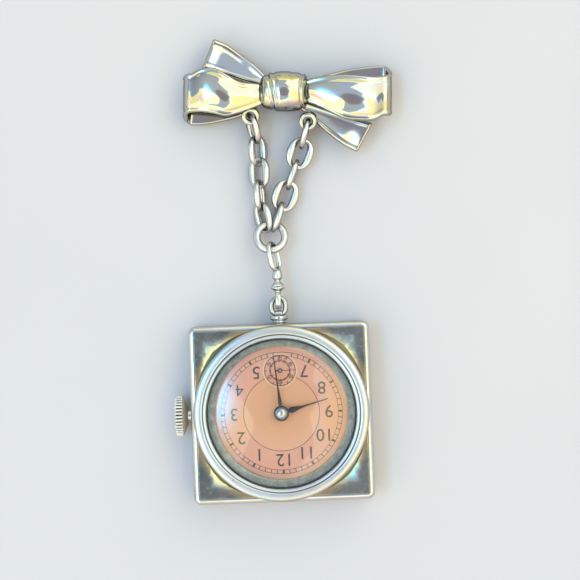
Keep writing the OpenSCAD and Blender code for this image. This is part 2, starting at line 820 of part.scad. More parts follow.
module movement() {
    color(grey_silver) difference() {
        union() {
            translate([0, 0, movement_z]) cylinder(h = movement_top - movement_z, r = pocket_r - 0.15, $fn = 96);
            translate([0, 0, movement_z]) cylinder(h = hour_z + hand_t + 0.1 - movement_z, r = hour_post_r);
            translate([0, 0, movement_z]) cylinder(h = post_head_z - movement_z, r = minute_post_r);
            translate([0, 0, post_head_z]) cylinder(h = 0.14, r = post_head_r);
            translate([0, 0, post_head_z + 0.14]) cylinder(h = 0.1, r1 = post_head_r, r2 = post_head_r * 0.6);
        }
        translate([-pocket_r - 1, 0, crown_z]) rotate([0, 90, 0]) {
            cylinder(h = pocket_r + 1 + stem_inner + 0.2, r = bore_r);
        }
        translate([0, seconds_dial_y, wheel_z - 0.1]) cylinder(h = 2, r = wheel_r + 2 * run);
        translate([0, seconds_dial_y, wheel_z - pivot_l - 0.1]) cylinder(h = 1, r = seconds_post_r + run, $fn = 32);
    }
}

// Hand pointing along X: a short broad leaf beyond the hub, then a long needle
module leaf(length, width) {
    leaf_x = hub_r * 1.5;
    polygon([
        [0, -width * 0.2], [hub_r, -width * 0.2], [leaf_x, -width / 2], [length * 0.42, -width * 0.18],
        [length * 0.72, -0.06], [length - 0.1, -0.035], [length, 0], [length - 0.1, 0.035], [length * 0.72, 0.06],
        [length * 0.42, width * 0.18], [leaf_x, width / 2], [hub_r, width * 0.2], [0, width * 0.2]
    ]);
}

module centre_hand(z, angle, length, width, post_r) {
    color(blued) translate([0, 0, z]) rotate(angle) difference() {
        union() {
            linear_extrude(hand_t) leaf(length, width);
            cylinder(h = hand_t + 0.02, r = hub_r);
        }
        translate([0, 0, -1]) cylinder(h = 3, r = post_r + run);
    }
}

module hour_hand() {
    centre_hand(hour_z, hour_angle, hour_len, leaf_w, hour_post_r);
}

module minute_hand() {
    centre_hand(minute_z, minute_angle, minute_len, leaf_w * 0.8, minute_post_r);
}

seconds_z = dial_top + 0.08;
seconds_t = 0.1;

module seconds_hand() {
    color(blued) translate([0, seconds_dial_y, seconds_z]) rotate(seconds_angle) difference() {
        union() {
            linear_extrude(seconds_t) {
                polygon([[-0.6, -0.09], [seconds_len, -0.03], [seconds_len, 0.03], [-0.6, 0.09]]);
            }
            cylinder(h = seconds_t, r = seconds_hub_r, $fn = 32);
        }
        translate([0, 0, -1]) cylinder(h = 3, r = seconds_post_r + run, $fn = 32);
    }
}

// Wheel under the seconds dial, with the arbor that carries the seconds hand
module seconds_wheel() {
    color(grey_silver) translate([0, seconds_dial_y, 0]) {
        translate([0, 0, wheel_z]) cylinder(h = wheel_t, r = wheel_r);
        translate([0, 0, wheel_z - pivot_l]) {
            cylinder(h = pivot_l + seconds_z + 0.12 - wheel_z, r = seconds_post_r, $fn = 32);
        }
    }
}

module crown() {
    color(silver) difference() {
        translate([crown_end, 0, crown_z]) rotate([0, 90, 0]) difference() {
            rotate_extrude() {
                polygon([
                    [0, -0.18], [crown_r * 0.45, -0.14], [crown_r * 0.8, 0], [crown_r, 0.12],
                    [crown_r, crown_rim - 0.1], [crown_r - 0.12, crown_rim],
                    [crown_r * 0.5, crown_rim + crown_skirt], [0, crown_rim + crown_skirt]
                ]);
            }
            for (i = [0 : flutes - 1]) {
                rotate(360 * i / flutes) translate([crown_r + 0.02, 0, -0.5]) {
                    rotate(45) translate([-flute_depth, -flute_depth, 0]) {
                        cube([2 * flute_depth, 2 * flute_depth, crown_rim + 1.2]);
                    }
                }
            }
        }
        translate([rim_x - crown_rim * 0.4, 0, crown_z]) rotate([0, 90, 0]) cylinder(h = 4, r = bore_r);
        translate([skirt_x - 0.2, 0, crown_z]) rotate([0, 90, 0]) cylinder(h = 2, r = tube_r + run);
    }
}

module crown_stem() {
    stem_x = rim_x - crown_rim * 0.4 + seat;
    color(grey_silver) translate([stem_x, 0, crown_z]) {
        rotate([0, 90, 0]) cylinder(h = stem_inner - stem_x, r = stem_r);
    }
}

bow();
brooch_pin();
link_left(1);  // link_left_1
link_left(2);  // link_left_2
link_left(3);  // link_left_3
link_left(4);  // link_left_4
link_left(5);  // link_left_5
link_right(1);  // link_right_1
link_right(2);  // link_right_2
link_right(3);  // link_right_3
link_right(4);  // link_right_4
link_right(5);  // link_right_5
ring();
swivel_loop();
swivel_eye();
bail();
case();
bezel();
crystal();
dial();
movement();
hour_hand();
minute_hand();
seconds_hand();
seconds_wheel();
crown();
crown_stem();
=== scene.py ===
import math

import bmesh
import bpy
import numpy as np
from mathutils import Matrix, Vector


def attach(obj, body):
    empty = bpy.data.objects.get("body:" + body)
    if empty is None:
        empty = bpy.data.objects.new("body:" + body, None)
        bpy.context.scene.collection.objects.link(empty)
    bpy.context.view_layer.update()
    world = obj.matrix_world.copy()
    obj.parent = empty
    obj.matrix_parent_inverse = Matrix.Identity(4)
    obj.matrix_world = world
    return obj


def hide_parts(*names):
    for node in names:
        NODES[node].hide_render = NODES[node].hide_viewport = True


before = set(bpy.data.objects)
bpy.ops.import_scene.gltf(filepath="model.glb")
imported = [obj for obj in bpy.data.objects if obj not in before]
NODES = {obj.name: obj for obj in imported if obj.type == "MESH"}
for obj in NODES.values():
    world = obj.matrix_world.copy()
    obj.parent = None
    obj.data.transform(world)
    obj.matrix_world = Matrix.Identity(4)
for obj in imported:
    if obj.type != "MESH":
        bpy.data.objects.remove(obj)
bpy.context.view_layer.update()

MM = 0.001
ON_AXIS = 1e-4

# Sizes of the part's source, in mm
CASE_W, CASE_L, CASE_H, CASE_CORNER, BACK_T = 24.0, 23.6, 5.4, 1.0, 0.9
CRYSTAL_R, BEZEL_R, POCKET_R, OPENING_R = 9.84, 11.6, 10.1, 8.75
BAND_W, BEAD_R = 1.15, 0.26
CRYSTAL_T, SHOULDER_H, DOME_H = 0.7, 0.85, 0.9
DIAL_TOP, BEZEL_Z, BEZEL_TOP, CRYSTAL_SEAT = 5.03, 5.43, 6.9, 6.2
SECONDS_Y, SECONDS_R, SINK = 5.6, 2.1, 0.12
HOUR_Z, MINUTE_Z, SECONDS_Z, HAND_T = 5.53, 5.93, 5.11, 0.15
HOUR_LEN, MINUTE_LEN, SECONDS_LEN, LEAF_W = 6.4, 7.9, 1.6, 0.8
HUB_R, HOUR_POST, MINUTE_POST, RUN = 1.0, 0.7, 0.44, 0.04
HOUR_A, MINUTE_A, SECONDS_A = 270 - 30 * (8 + 29 / 60), 270 - 6 * 29, 270 - 6 * 45
CROWN_R, CROWN_RIM, CROWN_SKIRT, FLUTES, FLUTE_DEPTH, CROWN_Z = 2.7, 1.1, 0.55, 36, 0.14, 3.0
CROWN_END, RIM_X, TUBE_X = -14.15, -13.05, -12.62
HANG_X, PENDANT_Z, TOP_Y = 0.12, 3.0, 11.8
PIN_Y, BAIL_PITCH, BAIL_W, BAIL_WIRE, BAIL_PIN = 13.01, 2.14, 2.6, 0.68, 0.46
SWIVEL_Y, FLANGE_W, NECK_LEN, BELL_Y = 16.62, 1.8, 0.72, 16.8
RING_C, RING_R, RING_WIRE, RING_TILT = (-0.55, 23.39), 1.86, 0.95, 18
LINK = dict(w=3.6, l=4.3, side=1.02, end=0.58, t=0.86, end_t=0.5)
LINK_PITCH, CHAIN_Z = 3.0, 1.86
LEFT_HOOK, RIGHT_HOOK = (121, 102), (68, 70)
LEFT_STEPS, RIGHT_STEPS = (96.5, 89.5, 91.5), (68, 68.5, 69)
LEFT_TURNS, RIGHT_TURNS = (108, 52, 138, 74, 125), (90, 8, 88, 12, 96)
KNOT_C, BOW_TURN, BOW_H, RIBBON_W, RIBBON_T = (1.95, 42.57), 2.2, 6.3, 6.3, 0.6
LEFT_L, RIGHT_L, KNOT_W, KNOT_B, KNOT_Z, KNOT_D = 13.1, 13.9, 5.3, 5.3, 4.1, 4.4
EYES, EYE_Z, EYE_OD, EYE_HOLE, EYE_T, EYE_TILT = ((-4.45, -3.2), (3.2, -3.86)), 3.4, 2.4, 1.2, 0.85, 20

# Sizes of the dress alone, in mm: case plates, bezel band, dial print, swivel's bell, loop and shank's eye
PLATE_INSET = 0.72
BAND_IN = BEZEL_R - BAND_W
CIRCLE_R, TRACK_IN, TRACK_MID, TRACK_OUT = 5.0, 7.48, 7.75, 8.0
BELL_W, BELL_TOP, LOOP_Y = 1.58, 1.05, 18.75
LOOP_W, LOOP_L, LOOP_WIRE, LOOP_T = 2.8, 4.2, 0.62, 0.72
SHANK_W, SHANK_L, SHANK_WIRE, SHANK_T = 1.95, 2.35, 0.44, 0.77


# Mesh helpers. A solid is a pair of points in mm and faces.

def rot(axis, deg):
    a = math.radians(deg)
    c, s = math.cos(a), math.sin(a)
    return {
        "x": np.array([[1, 0, 0], [0, c, -s], [0, s, c]]),
        "y": np.array([[c, 0, s], [0, 1, 0], [-s, 0, c]]),
        "z": np.array([[c, -s, 0], [s, c, 0], [0, 0, 1]]),
    }[axis]


def heading(a):
    return np.array([math.cos(math.radians(a)), math.sin(math.radians(a)), 0.0])


def bell_curve(x, middle, width):
    return math.exp(-((x - middle) / width) ** 2)


def linked(name, data):
    obj = bpy.data.objects.new(name, data)
    bpy.context.scene.collection.objects.link(obj)
    return obj


def piece(name, solid, look, node, sharp, body="base"):
    """A smooth shaded mesh piece from a solid. A look is a material and its slot."""
    me = bpy.data.meshes.new(name)
    me.from_pydata([tuple(v * MM) for v in np.asarray(solid[0], float)], [], solid[1])
    finish_piece(me, name, look, node, sharp, body)


def finish_piece(me, name, look, node, sharp, body):
    bm = bmesh.new()
    bm.from_mesh(me)
    bmesh.ops.remove_doubles(bm, verts=bm.verts, dist=2e-7)
    bmesh.ops.dissolve_degenerate(bm, edges=bm.edges, dist=1e-8)
    bmesh.ops.recalc_face_normals(bm, faces=bm.faces)
    if bm.calc_volume(signed=True) < 0:
        bmesh.ops.reverse_faces(bm, faces=bm.faces)
    bm.to_mesh(me)
    bm.free()
    me.shade_smooth()
    me.set_sharp_from_angle(angle=math.radians(sharp))
    mat, slot = look
    me.materials.clear()
    me.materials.append(mat)
    obj = linked(name, me)
    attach(obj, body)
    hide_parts(node)


def copied(node, name, look, bevel=0.0, body="base", sharp=32):
    """The CAD node's own mesh as a dressed piece, with its sharp edges softened."""
    me = NODES[node].data.copy()
    bm = bmesh.new()
    bm.from_mesh(me)
    bmesh.ops.remove_doubles(bm, verts=bm.verts, dist=1e-6)
    bmesh.ops.dissolve_limit(bm, angle_limit=math.radians(1), verts=bm.verts, edges=bm.edges)
    if bevel:
        edges = [e for e in bm.edges
                 if len(e.link_faces) == 2 and e.calc_face_angle(0) > math.radians(sharp)]
        bmesh.ops.bevel(bm, geom=edges, offset=bevel * MM, segments=3, profile=0.5, affect="EDGES",
                        clamp_overlap=True)
    bm.to_mesh(me)
    bm.free()
    finish_piece(me, name, look, node, sharp, body)


def grid_faces(rows, cols, wrap=False):
    """Faces between rings of points; wrap joins the last ring to the first."""
    out = []
    for i in range(rows if wrap else rows - 1):
        for j in range(cols):
            low, high, k = i * cols, (i + 1) % rows * cols, (j + 1) % cols
            out.append((low + j, low + k, high + k, high + j))
    return out


def looped(rings):
    """Closed solid from rings that come round to the first one."""
    return [p for r in rings for p in r], grid_faces(len(rings), len(rings[0]), wrap=True)


def tube_solid(rings):
    """Closed solid from rings of points, its two ends closed with fans."""
    rows, cols = len(rings), len(rings[0])
    verts = [p for r in rings for p in r]
    faces = grid_faces(rows, cols)
    for k, flip in ((0, True), (rows - 1, False)):
        c = len(verts)
        verts.append(np.mean(rings[k], axis=0))
        for j in range(cols):
            a, b = k * cols + j, k * cols + (j + 1) % cols
            faces.append((c, b, a) if flip else (c, a, b))
    return verts, faces


def soft(points, radius, closed=True, n=4):
    """The same outline with each corner off the axis rounded and held by a close neighbour."""
    p = [np.array(q, float) for q in points]
    out, m = [], len(p)
    for i in range(m):
        if p[i][0] < ON_AXIS or not closed and i in (0, m - 1):
            out.append(p[i])
            continue
        a, b, c = p[i - 1], p[i], p[(i + 1) % m]
        la, lc = np.linalg.norm(a - b), np.linalg.norm(c - b)
        if la < 1e-6 or lc < 1e-6:
            continue
        ua, uc = (a - b) / la, (c - b) / lc
        if np.dot(ua, uc) < -0.9:
            out.append(b)
            continue
        d = min(radius, 0.36 * la, 0.36 * lc)
        out.append(b + ua * d * 1.3)
        for k in range(n + 1):
            t = k / n
            out.append((1 - t) ** 2 * (b + ua * d) + 2 * t * (1 - t) * b + t * t * (b + uc * d))
        out.append(b + uc * d * 1.3)
    return out


def spun(profile, steps, flute=None):
    """Closed solid from a closed profile of (radius, height) turned about Z; it may meet the axis."""
    verts, rows, faces = [], [], []
    for r, h in profile:
        if r < ON_AXIS:
            rows.append([len(verts)] * steps)
            verts.append((0, 0, h))
            continue
        rows.append(list(range(len(verts), len(verts) + steps)))
        for i in range(steps):
            a = 2 * math.pi * i / steps
            q = flute(r, a) if flute else r
            verts.append((q * math.cos(a), q * math.sin(a), h))
    for low, high in zip(rows, rows[1:] + rows[:1]):
        if low[0] == low[-1] and high[0] == high[-1]:
            continue
        for i in range(steps):
            k = (i + 1) % steps
            faces.append(tuple(dict.fromkeys((low[i], low[k], high[k], high[i]))))
    return verts, faces


def lathe(outline, steps, radius=0.05, flute=None):
    """Solid of revolution about Z from a closed outline of (radius, height), its corners rounded."""
    return spun(soft(outline, radius), steps, flute)


def moved(solid, matrix=None, place=(0, 0, 0)):
    v = np.asarray(solid[0], float)
    if matrix is not None:
        v = v @ np.asarray(matrix).T
    return v + np.array(place, float), solid[1]


def turned(outline, axis, place, steps, radius=0.05, flute=None):
    """A lathe solid with its height along X or Y."""
    return moved(lathe(outline, steps, radius, flute), rot("y", 90) if axis == "x" else rot("x", -90), place)


def joined(*solids):
    verts, faces, n = [], [], 0
    for v, f in solids:
        verts.extend(list(np.asarray(v, float)))
        faces.extend([tuple(i + n for i in q) for q in f])
        n += len(v)
    return verts, faces


def cylinder(r, z0, z1, steps):
    return lathe([(0, z0), (r, z0), (r, z1), (0, z1)], steps)


def box_solid(x0, x1, y0, y1, z0, z1):
    v = [(x, y, z) for z in (z0, z1) for y in (y0, y1) for x in (x0, x1)]
    return v, [(0, 2, 3, 1), (4, 5, 7, 6), (0, 1, 5, 4), (2, 6, 7, 3), (0, 4, 6, 2), (1, 3, 7, 5)]


def squared(c, f):
    """A cosine or sine pushed outwards, which makes a circle squarer; with f at 1 it stays round."""
    return math.copysign(abs(c) ** (1 / f), c) if c else 0.0


def wire_loop(outer, hole, t, end_t, steps=112, sides=24, section=1.25, outside=1.12, inside=1.7):
    """Closed oval of wire in the XY plane; the last three numbers say how square each outline is."""
    rings = []
    for i in range(steps):
        a = 2 * math.pi * (i + 0.5) / steps
        ca, sa = math.cos(a), math.sin(a)
        o = np.array([outer[0] / 2 * squared(ca, outside), outer[1] / 2 * squared(sa, outside)])
        h = np.array([hole[0] / 2 * squared(ca, inside), hole[1] / 2 * squared(sa, inside)])
        mid, half = (o + h) / 2, (o - h) / 2
        thick = end_t + (t - end_t) * ca * ca
        ring = []
        for k in range(sides):
            b = 2 * math.pi * k / sides
            cb, sb = squared(math.cos(b), section), squared(math.sin(b), section)
            ring.append((*(mid + half * cb), thick / 2 * sb))
        rings.append(ring)
    return looped(rings)


def oval(w, l, wire, *rest):
    return wire_loop((w, l), (w - 2 * wire, l - 2 * wire), *rest)


def round_wire(r, wire, steps, sides):
    return oval(2 * r + wire, 2 * r + wire, wire, wire, wire, steps, sides, 1.0, 1.0, 1.0)


def along(solid, place, a, slope, turn):
    """The solid with its Y axis along a direction, tilted up by slope and rolled by turn."""
    return moved(solid, rot("z", a - 90) @ rot("x", slope) @ rot("y", turn), place)


# Node helpers. Colours are tuples or sockets.

def add(nt, kind, inputs=None, **sets):
    """A new shader node; an input is a value or another node's output."""
    n = nt.nodes.new("ShaderNode" + kind)
    for k, v in sets.items():
        setattr(n, k, v)
    for k, v in (inputs or {}).items():
        if isinstance(v, bpy.types.NodeSocket):
            nt.links.new(v, n.inputs[k])
        else:
            n.inputs[k].default_value = v
    return n


def shader(name, values=None):
    """A new material, its node tree, its shader with some uniform values, and the object's coordinates."""
    m = bpy.data.materials.new(name)
    m.use_nodes = True
    nt = m.node_tree
    bsdf = nt.nodes["Principled BSDF"]
    for k, v in (values or {}).items():
        bsdf.inputs[k].default_value = v
    return m, nt, bsdf, add(nt, "TexCoord").outputs["Object"]


def fill(nt, bsdf, colour, rough):
    nt.links.new(colour, bsdf.inputs["Base Color"])
    nt.links.new(rough, bsdf.inputs["Roughness"])


def split(nt, vector):
    return add(nt, "SeparateXYZ", {0: vector}).outputs


def maths(nt, kind, x, y=0.0):
    return add(nt, "Math", {0: x, 1: y}, operation=kind).outputs[0]


def scaled(nt, coord, scale, shift=(0, 0, 0)):
    return add(nt, "Mapping", {"Vector": coord, "Location": shift, "Scale": scale}).outputs[0]


def distance(nt, coord, keep=(1, 1, 0), centre=(0, 0, 0)):
    """Distance in metres from an axis through a centre in mm; keep is 0 along that axis."""
    flat = scaled(nt, coord, keep, tuple(-c * k * MM for c, k in zip(centre, keep)))
    return add(nt, "VectorMath", {0: flat}, operation="LENGTH").outputs["Value"]


def noise(nt, coord, per_mm, detail=4.0, rough=0.55, distort=0.0, stretch=None):
    """Noise of so many waves per mm; the coordinates are in metres."""
    if stretch:
        coord = scaled(nt, coord, stretch)
    return add(nt, "TexNoise", {"Vector": coord, "Scale": per_mm / MM, "Detail": detail,
                                "Roughness": rough, "Distortion": distort}).outputs["Fac"]


def ramp(nt, fac, stops):
    """Colours by value, from stops of a place and a colour or a grey."""
    r = add(nt, "ValToRGB", {"Fac": fac})
    el = r.color_ramp.elements
    while len(el) < len(stops):
        el.new(0.5)
    for e, (p, c) in zip(el, stops):
        e.position = p
        e.color = (*c, 1) if isinstance(c, tuple) else (c, c, c, 1)
    return r.outputs["Color"]


def fade(nt, fac, start, end, top=1.0):
    """Black up to start, rising to a grey of top at end."""
    return ramp(nt, fac, [(start, 0), (end, top)])


def span(nt, value, a, b, lo, hi):
    """Values from a to b turned into lo to hi, and held beyond them."""
    return add(nt, "MapRange", {"Value": value, "From Min": a, "From Max": b, "To Min": lo,
                                "To Max": hi}).outputs["Result"]


def mm_span(nt, length, a, b, lo=0.0, hi=1.0):
    """The same for a length in metres, with a and b in mm."""
    return span(nt, length, a * MM, b * MM, lo, hi)


def mixed(nt, fac, a, b, blend="MIX"):
    full = [(*c, 1) if isinstance(c, tuple) else c for c in (a, b)]
    return add(nt, "Mix", {0: fac, 6: full[0], 7: full[1]}, data_type="RGBA",
               blend_type=blend).outputs[2]


def times(nt, product, *others):
    for other in others:
        product = mixed(nt, 1.0, product, other, "MULTIPLY")
    return product


def bump(nt, bsdf, heights):
    """Chained bumps, each a (height, strength, distance in mm)."""
    normal = None
    for height, strength, dist in heights:
        inputs = {"Height": height, "Strength": strength, "Distance": dist * MM}
        if normal:
            inputs["Normal"] = normal
        normal = add(nt, "Bump", inputs).outputs["Normal"]
    nt.links.new(normal, bsdf.inputs["Normal"])


def grimy(nt, colour, hollow_colour, reach, clean=0.62):
    """Grime and painted shade: darker in hollows and close to other parts, looked for within reach, in mm."""
    hollow = add(nt, "AmbientOcclusion", {"Distance": reach * MM}, samples=8).outputs["AO"]
    return mixed(nt, ramp(nt, hollow, [(0.15, 1), (clean, 0)]), colour, hollow_colour)


def steep_tarnish(nt, colour, strength, dark, top=0.62):
    """Painted shade: steep sides are painted darker, more so the steeper they are."""
    up = split(nt, add(nt, "NewGeometry").outputs["Normal"])[2]
    return mixed(nt, span(nt, up, 0.1, top, strength, 0.0), colour, dark)


# Materials

def metal(name, base, patch_colour, rough, coarse, fine, wave=0.0, scratch=0.12, grime_and_shade=None, side_shade=0.0,
          edge=0.35, plates=False, border=(0.4, 0.66)):
    """Silver-toned metal: soft colour drift, uneven polish, hairline scratches, grime and painted shade in
    hollows, painted shade on steep sides and, for the case, painted reflections on its plates.
    """
    m, nt, bsdf, coord = shader(name, {"Metallic": 1.0, "Specular Tint": (edge, edge, edge * 0.95, 1)})
    # Patches of a second colour; in the polished silver they are warm, with hard edges.
    colour = mixed(nt, fade(nt, noise(nt, coord, coarse, 5), *border), base, patch_colour)
    speck = fade(nt, noise(nt, coord, fine, 6, 0.7), 0.6, 0.74, 0.5)
    colour = mixed(nt, speck, colour, tuple(c * 0.62 for c in patch_colour))
    # Grime and painted shade darken the hollows.
    if grime_and_shade:
        colour = grimy(nt, colour, *grime_and_shade)
    if plates:
        colour = plate_tone(nt, coord, colour)
    # Painted shade: steep sides darkened.
    if side_shade:
        colour = steep_tarnish(nt, colour, side_shade, (0.11, 0.11, 0.108))
    rub = noise(nt, coord, coarse * 4, 6, 0.65)
    fill(nt, bsdf, colour, span(nt, rub, 0.3, 0.7, *rough))
    heights = [(noise(nt, coord, 2.5, 3, 0.6, 0.2, (1.0, 0.1, 1.0)), scratch, 0.006),
               (noise(nt, coord, 2.2, 3, 0.6, 0.2, (0.12, 1.0, 1.0)), scratch, 0.006)]
    if wave:
        heights.append((noise(nt, coord, 0.16, 1.5, 0.4), 1.0, wave))
    bump(nt, bsdf, heights)
    return m


def plate_tone(nt, coord, colour):
    """The four flat corner plates, painted a dark, dull greenish grey as a painted reflection, with a painted
    golden reflection of the bezel beside it.
    """
    place = split(nt, coord)
    inside = mm_span(nt, place[2], CASE_H - 0.2, CASE_H - 0.15)
    for k, half in ((0, CASE_W / 2 - PLATE_INSET), (1, CASE_L / 2 - PLATE_INSET)):
        near = mm_span(nt, maths(nt, "ABSOLUTE", place[k]), half - 0.02, half, 1.0, 0.0)
        inside = times(nt, inside, near)
    cloud = fade(nt, noise(nt, coord, 0.1, 4, 0.6), 0.4, 0.6)
    # Painted reflection: the plates' dark, mottled grey-green.
    plate = mixed(nt, cloud, (0.21, 0.29, 0.275), (0.4, 0.435, 0.4))
    fleck = fade(nt, noise(nt, coord, 1.5, 6, 0.72), 0.52, 0.68, 0.6)
    plate = mixed(nt, fleck, plate, (0.58, 0.665, 0.64))
    # Painted reflection of the bezel: a golden glow beside it.
    haze = mm_span(nt, distance(nt, coord), BEZEL_R + 0.4, BEZEL_R + 1.3, 0.85, 0.0)
    return mixed(nt, inside, colour, mixed(nt, haze, plate, (0.8, 0.66, 0.34)))


def crown_metal():
    """Worn bright ribs with dark flutes between them, and a duller, warmer skirt."""
    # Grime and painted shade darken its hollows.
    m = metal("crown_silver", (0.8, 0.8, 0.82), (0.7, 0.69, 0.68), (0.2, 0.34), 0.3, 2.2,
              grime_and_shade=((0.05, 0.045, 0.04), 0.3), edge=0.9)
    nt = m.node_tree
    bsdf = nt.nodes["Principled BSDF"]
    colour, dull = (bsdf.inputs[k].links[0].from_socket for k in ("Base Color", "Roughness"))
    coord = add(nt, "TexCoord").outputs["Object"]
    x = split(nt, coord)[0]
    radius = distance(nt, coord, (0, 1, 1), (0, 0, CROWN_Z))
    flutes = times(nt, mm_span(nt, radius, CROWN_R - 0.16, CROWN_R - 0.05, 0.9, 0.0),
                   mm_span(nt, x, CROWN_END + 0.18, CROWN_END + 0.22),
                   mm_span(nt, x, RIM_X - 0.14, RIM_X - 0.1, 1.0, 0.0))
    skirt = mm_span(nt, x, RIM_X - 0.04, RIM_X + 0.02)
    colour = mixed(nt, skirt, colour, (0.78, 0.7, 0.58))
    colour = mixed(nt, flutes, colour, (0.05, 0.048, 0.045))
    fill(nt, bsdf, colour, mixed(nt, skirt, dull, (0.55, 0.55, 0.55)))
    bsdf.inputs["Metallic"].default_value = 0.8
    return m


def bezel_metal():
    """Satin band with fine turning lines, a bluish bead, and a dull slope under the glass painted in mottled
    blues as a painted reflection, with a painted ring of shade near its top.
    """
    m, nt, bsdf, coord = shader("brushed_silver", {"Specular Tint": (0.22, 0.21, 0.2, 1)})
    r = distance(nt, coord)
    lines = add(nt, "TexNoise", {"W": r, "Scale": 9.0 / MM, "Detail": 6.0},
                noise_dimensions="1D").outputs["Fac"]
    drift = fade(nt, noise(nt, coord, 0.12, 4), 0.4, 0.62)
    band = mixed(nt, drift, (0.58, 0.61, 0.7), (0.58, 0.58, 0.58))
    speck = noise(nt, coord, 1.6, 6, 0.7)
    band = mixed(nt, fade(nt, speck, 0.66, 0.8, 0.5), band, (0.46, 0.44, 0.36))
    band = mixed(nt, mm_span(nt, r, BAND_IN - 0.07, BAND_IN - 0.01), (0.56, 0.62, 0.72), band)
    # Painted reflection: the slope under the glass in mottled blues.
    cloud = fade(nt, noise(nt, coord, 0.9, 5, 0.7), 0.4, 0.6)
    slope = mixed(nt, cloud, (0.34, 0.5, 0.6), (0.56, 0.76, 0.87))
    # Painted shade: a dark ring near the top of the slope, under the crystal's edge.
    shade_ring = mm_span(nt, r, CRYSTAL_R - 0.54, CRYSTAL_R - 0.39, 0.0, 0.55)
    slope = mixed(nt, shade_ring, slope, (0.15, 0.24, 0.3))
    slope_end = CRYSTAL_R - 0.14, CRYSTAL_R + 0.11
    zone = mm_span(nt, r, *slope_end)
    # Grime and painted shade darken the hollows.
    colour = grimy(nt, mixed(nt, zone, slope, band), (0.12, 0.14, 0.13), 0.35, 0.5)
    # Painted shade: steep sides darkened.
    colour = steep_tarnish(nt, colour, 0.6, (0.12, 0.12, 0.11), 0.5)
    rub = span(nt, noise(nt, coord, 0.8, 6, 0.65), 0.3, 0.7, 0.26, 0.38)
    fill(nt, bsdf, colour, mixed(nt, zone, (0.5, 0.5, 0.5), rub))
    nt.links.new(mm_span(nt, r, *slope_end, 0.62, 1.0), bsdf.inputs["Metallic"])
    bump(nt, bsdf, [(lines, 0.12, 0.006), (speck, 0.06, 0.006)])
    return m


def glass():
    """Clear glass with a faint haze of wear."""
    m, nt, bsdf, coord = shader("crystal_glass", {"Transmission Weight": 1.0, "IOR": 1.49,
                                                  "Specular IOR Level": 0.4})
    haze = noise(nt, coord, 0.7, 6, 0.7)
    fill(nt, bsdf, mixed(nt, span(nt, haze, 0.4, 0.8, 0.0, 0.4), (0.985, 0.995, 1.0), (0.93, 0.96, 0.97)),
         span(nt, haze, 0.4, 0.75, 0.0, 0.008))
    return m


def dial_paint():
    """Salmon paint: warmer inside the thin circle, pinker outside, with faint age spots."""
    m, nt, bsdf, coord = shader("dial_paint")
    r = distance(nt, coord)
    outside = mm_span(nt, r, CIRCLE_R - 0.02, CIRCLE_R + 0.02)
    sunk = distance(nt, coord, centre=(0, SECONDS_Y, 0))
    sunk = mm_span(nt, sunk, SECONDS_R - 0.01, SECONDS_R + 0.01, 1.0, 0.0)
    outside = mixed(nt, sunk, outside, (1, 1, 1))
    colour = mixed(nt, outside, (0.98, 0.485, 0.285), (0.96, 0.435, 0.31))
    colour = mixed(nt, mm_span(nt, r, 7.6, 9.2, 0.0, 0.55), colour, (0.76, 0.34, 0.27))
    cloud = noise(nt, coord, 0.25, 6, 0.6)
    colour = mixed(nt, span(nt, cloud, 0.4, 0.75, 0.0, 0.35), colour, (0.9, 0.48, 0.34))
    spot = fade(nt, noise(nt, coord, 2.4, 5, 0.7), 0.63, 0.78, 0.45)
    colour = mixed(nt, spot, colour, (0.48, 0.22, 0.13))
    fill(nt, bsdf, colour, span(nt, cloud, 0.3, 0.7, 0.38, 0.55))
    bump(nt, bsdf, [(noise(nt, coord, 5.0, 3), 0.15, 0.004)])
    return m


def ink(name, base, patch_colour):
    m, nt, bsdf, coord = shader(name)
    wear = noise(nt, coord, 2.0, 5, 0.7)
    fill(nt, bsdf, mixed(nt, fade(nt, wear, 0.45, 0.72), base, patch_colour), span(nt, wear, 0.3, 0.7, 0.45, 0.65))
    return m


def blued():
    """Dark blued steel with a paler hub cap."""
    m, nt, bsdf, coord = shader("blued_steel", {"Metallic": 0.7})
    hue = span(nt, noise(nt, coord, 0.8, 4), 0.35, 0.7, 0.0, 1.0)
    colour = mixed(nt, hue, (0.03, 0.028, 0.04), (0.075, 0.045, 0.035))
    hub = mm_span(nt, distance(nt, coord), 0.74, 0.8, 0.8, 0.0)
    fill(nt, bsdf, mixed(nt, hub, colour, (0.34, 0.38, 0.46)),
         span(nt, noise(nt, coord, 3.0, 4), 0.3, 0.7, 0.25, 0.42))
    return m


# Where a metal below asks for it, its hollows are darkened with grime and painted shade, and its steep sides
# are painted darker as shade.
SILVER = (metal("polished_silver", (0.5, 0.51, 0.52), (0.52, 0.505, 0.43), (0.03, 0.09), 0.2, 3.0,
                wave=0.04, scratch=0.05, grime_and_shade=((0.16, 0.15, 0.13), 0.6), side_shade=0.6, border=(0.47, 0.5)),
          "polished_silver")
# The case's corner plates carry painted reflections.
CASE_METAL = (metal("case_silver", (0.64, 0.665, 0.73), (0.58, 0.6, 0.63), (0.06, 0.16), 0.3, 2.2,
                    wave=0.006, scratch=0.08, grime_and_shade=((0.14, 0.13, 0.1), 0.35), side_shade=0.3, edge=0.65,
                    plates=True), "polished_silver")
CROWN = crown_metal(), "polished_silver"
CHAIN = (metal("chain_metal", (0.74, 0.75, 0.78), (0.62, 0.63, 0.66), (0.22, 0.36), 0.5, 4.0,
               scratch=0.16, grime_and_shade=((0.1, 0.1, 0.095), 0.45), side_shade=0.85, edge=0.3), "chain_metal")
MOVEMENT = (metal("movement_metal", (0.62, 0.62, 0.63), (0.5, 0.5, 0.5), (0.12, 0.25), 0.5, 4.0, scratch=0.1),
            "movement_metal")
BEZEL = bezel_metal(), "brushed_silver"
GLASS = glass(), "crystal"
BLUED = blued(), "blued_steel"
DIAL = dial_paint(), "dial_paint"
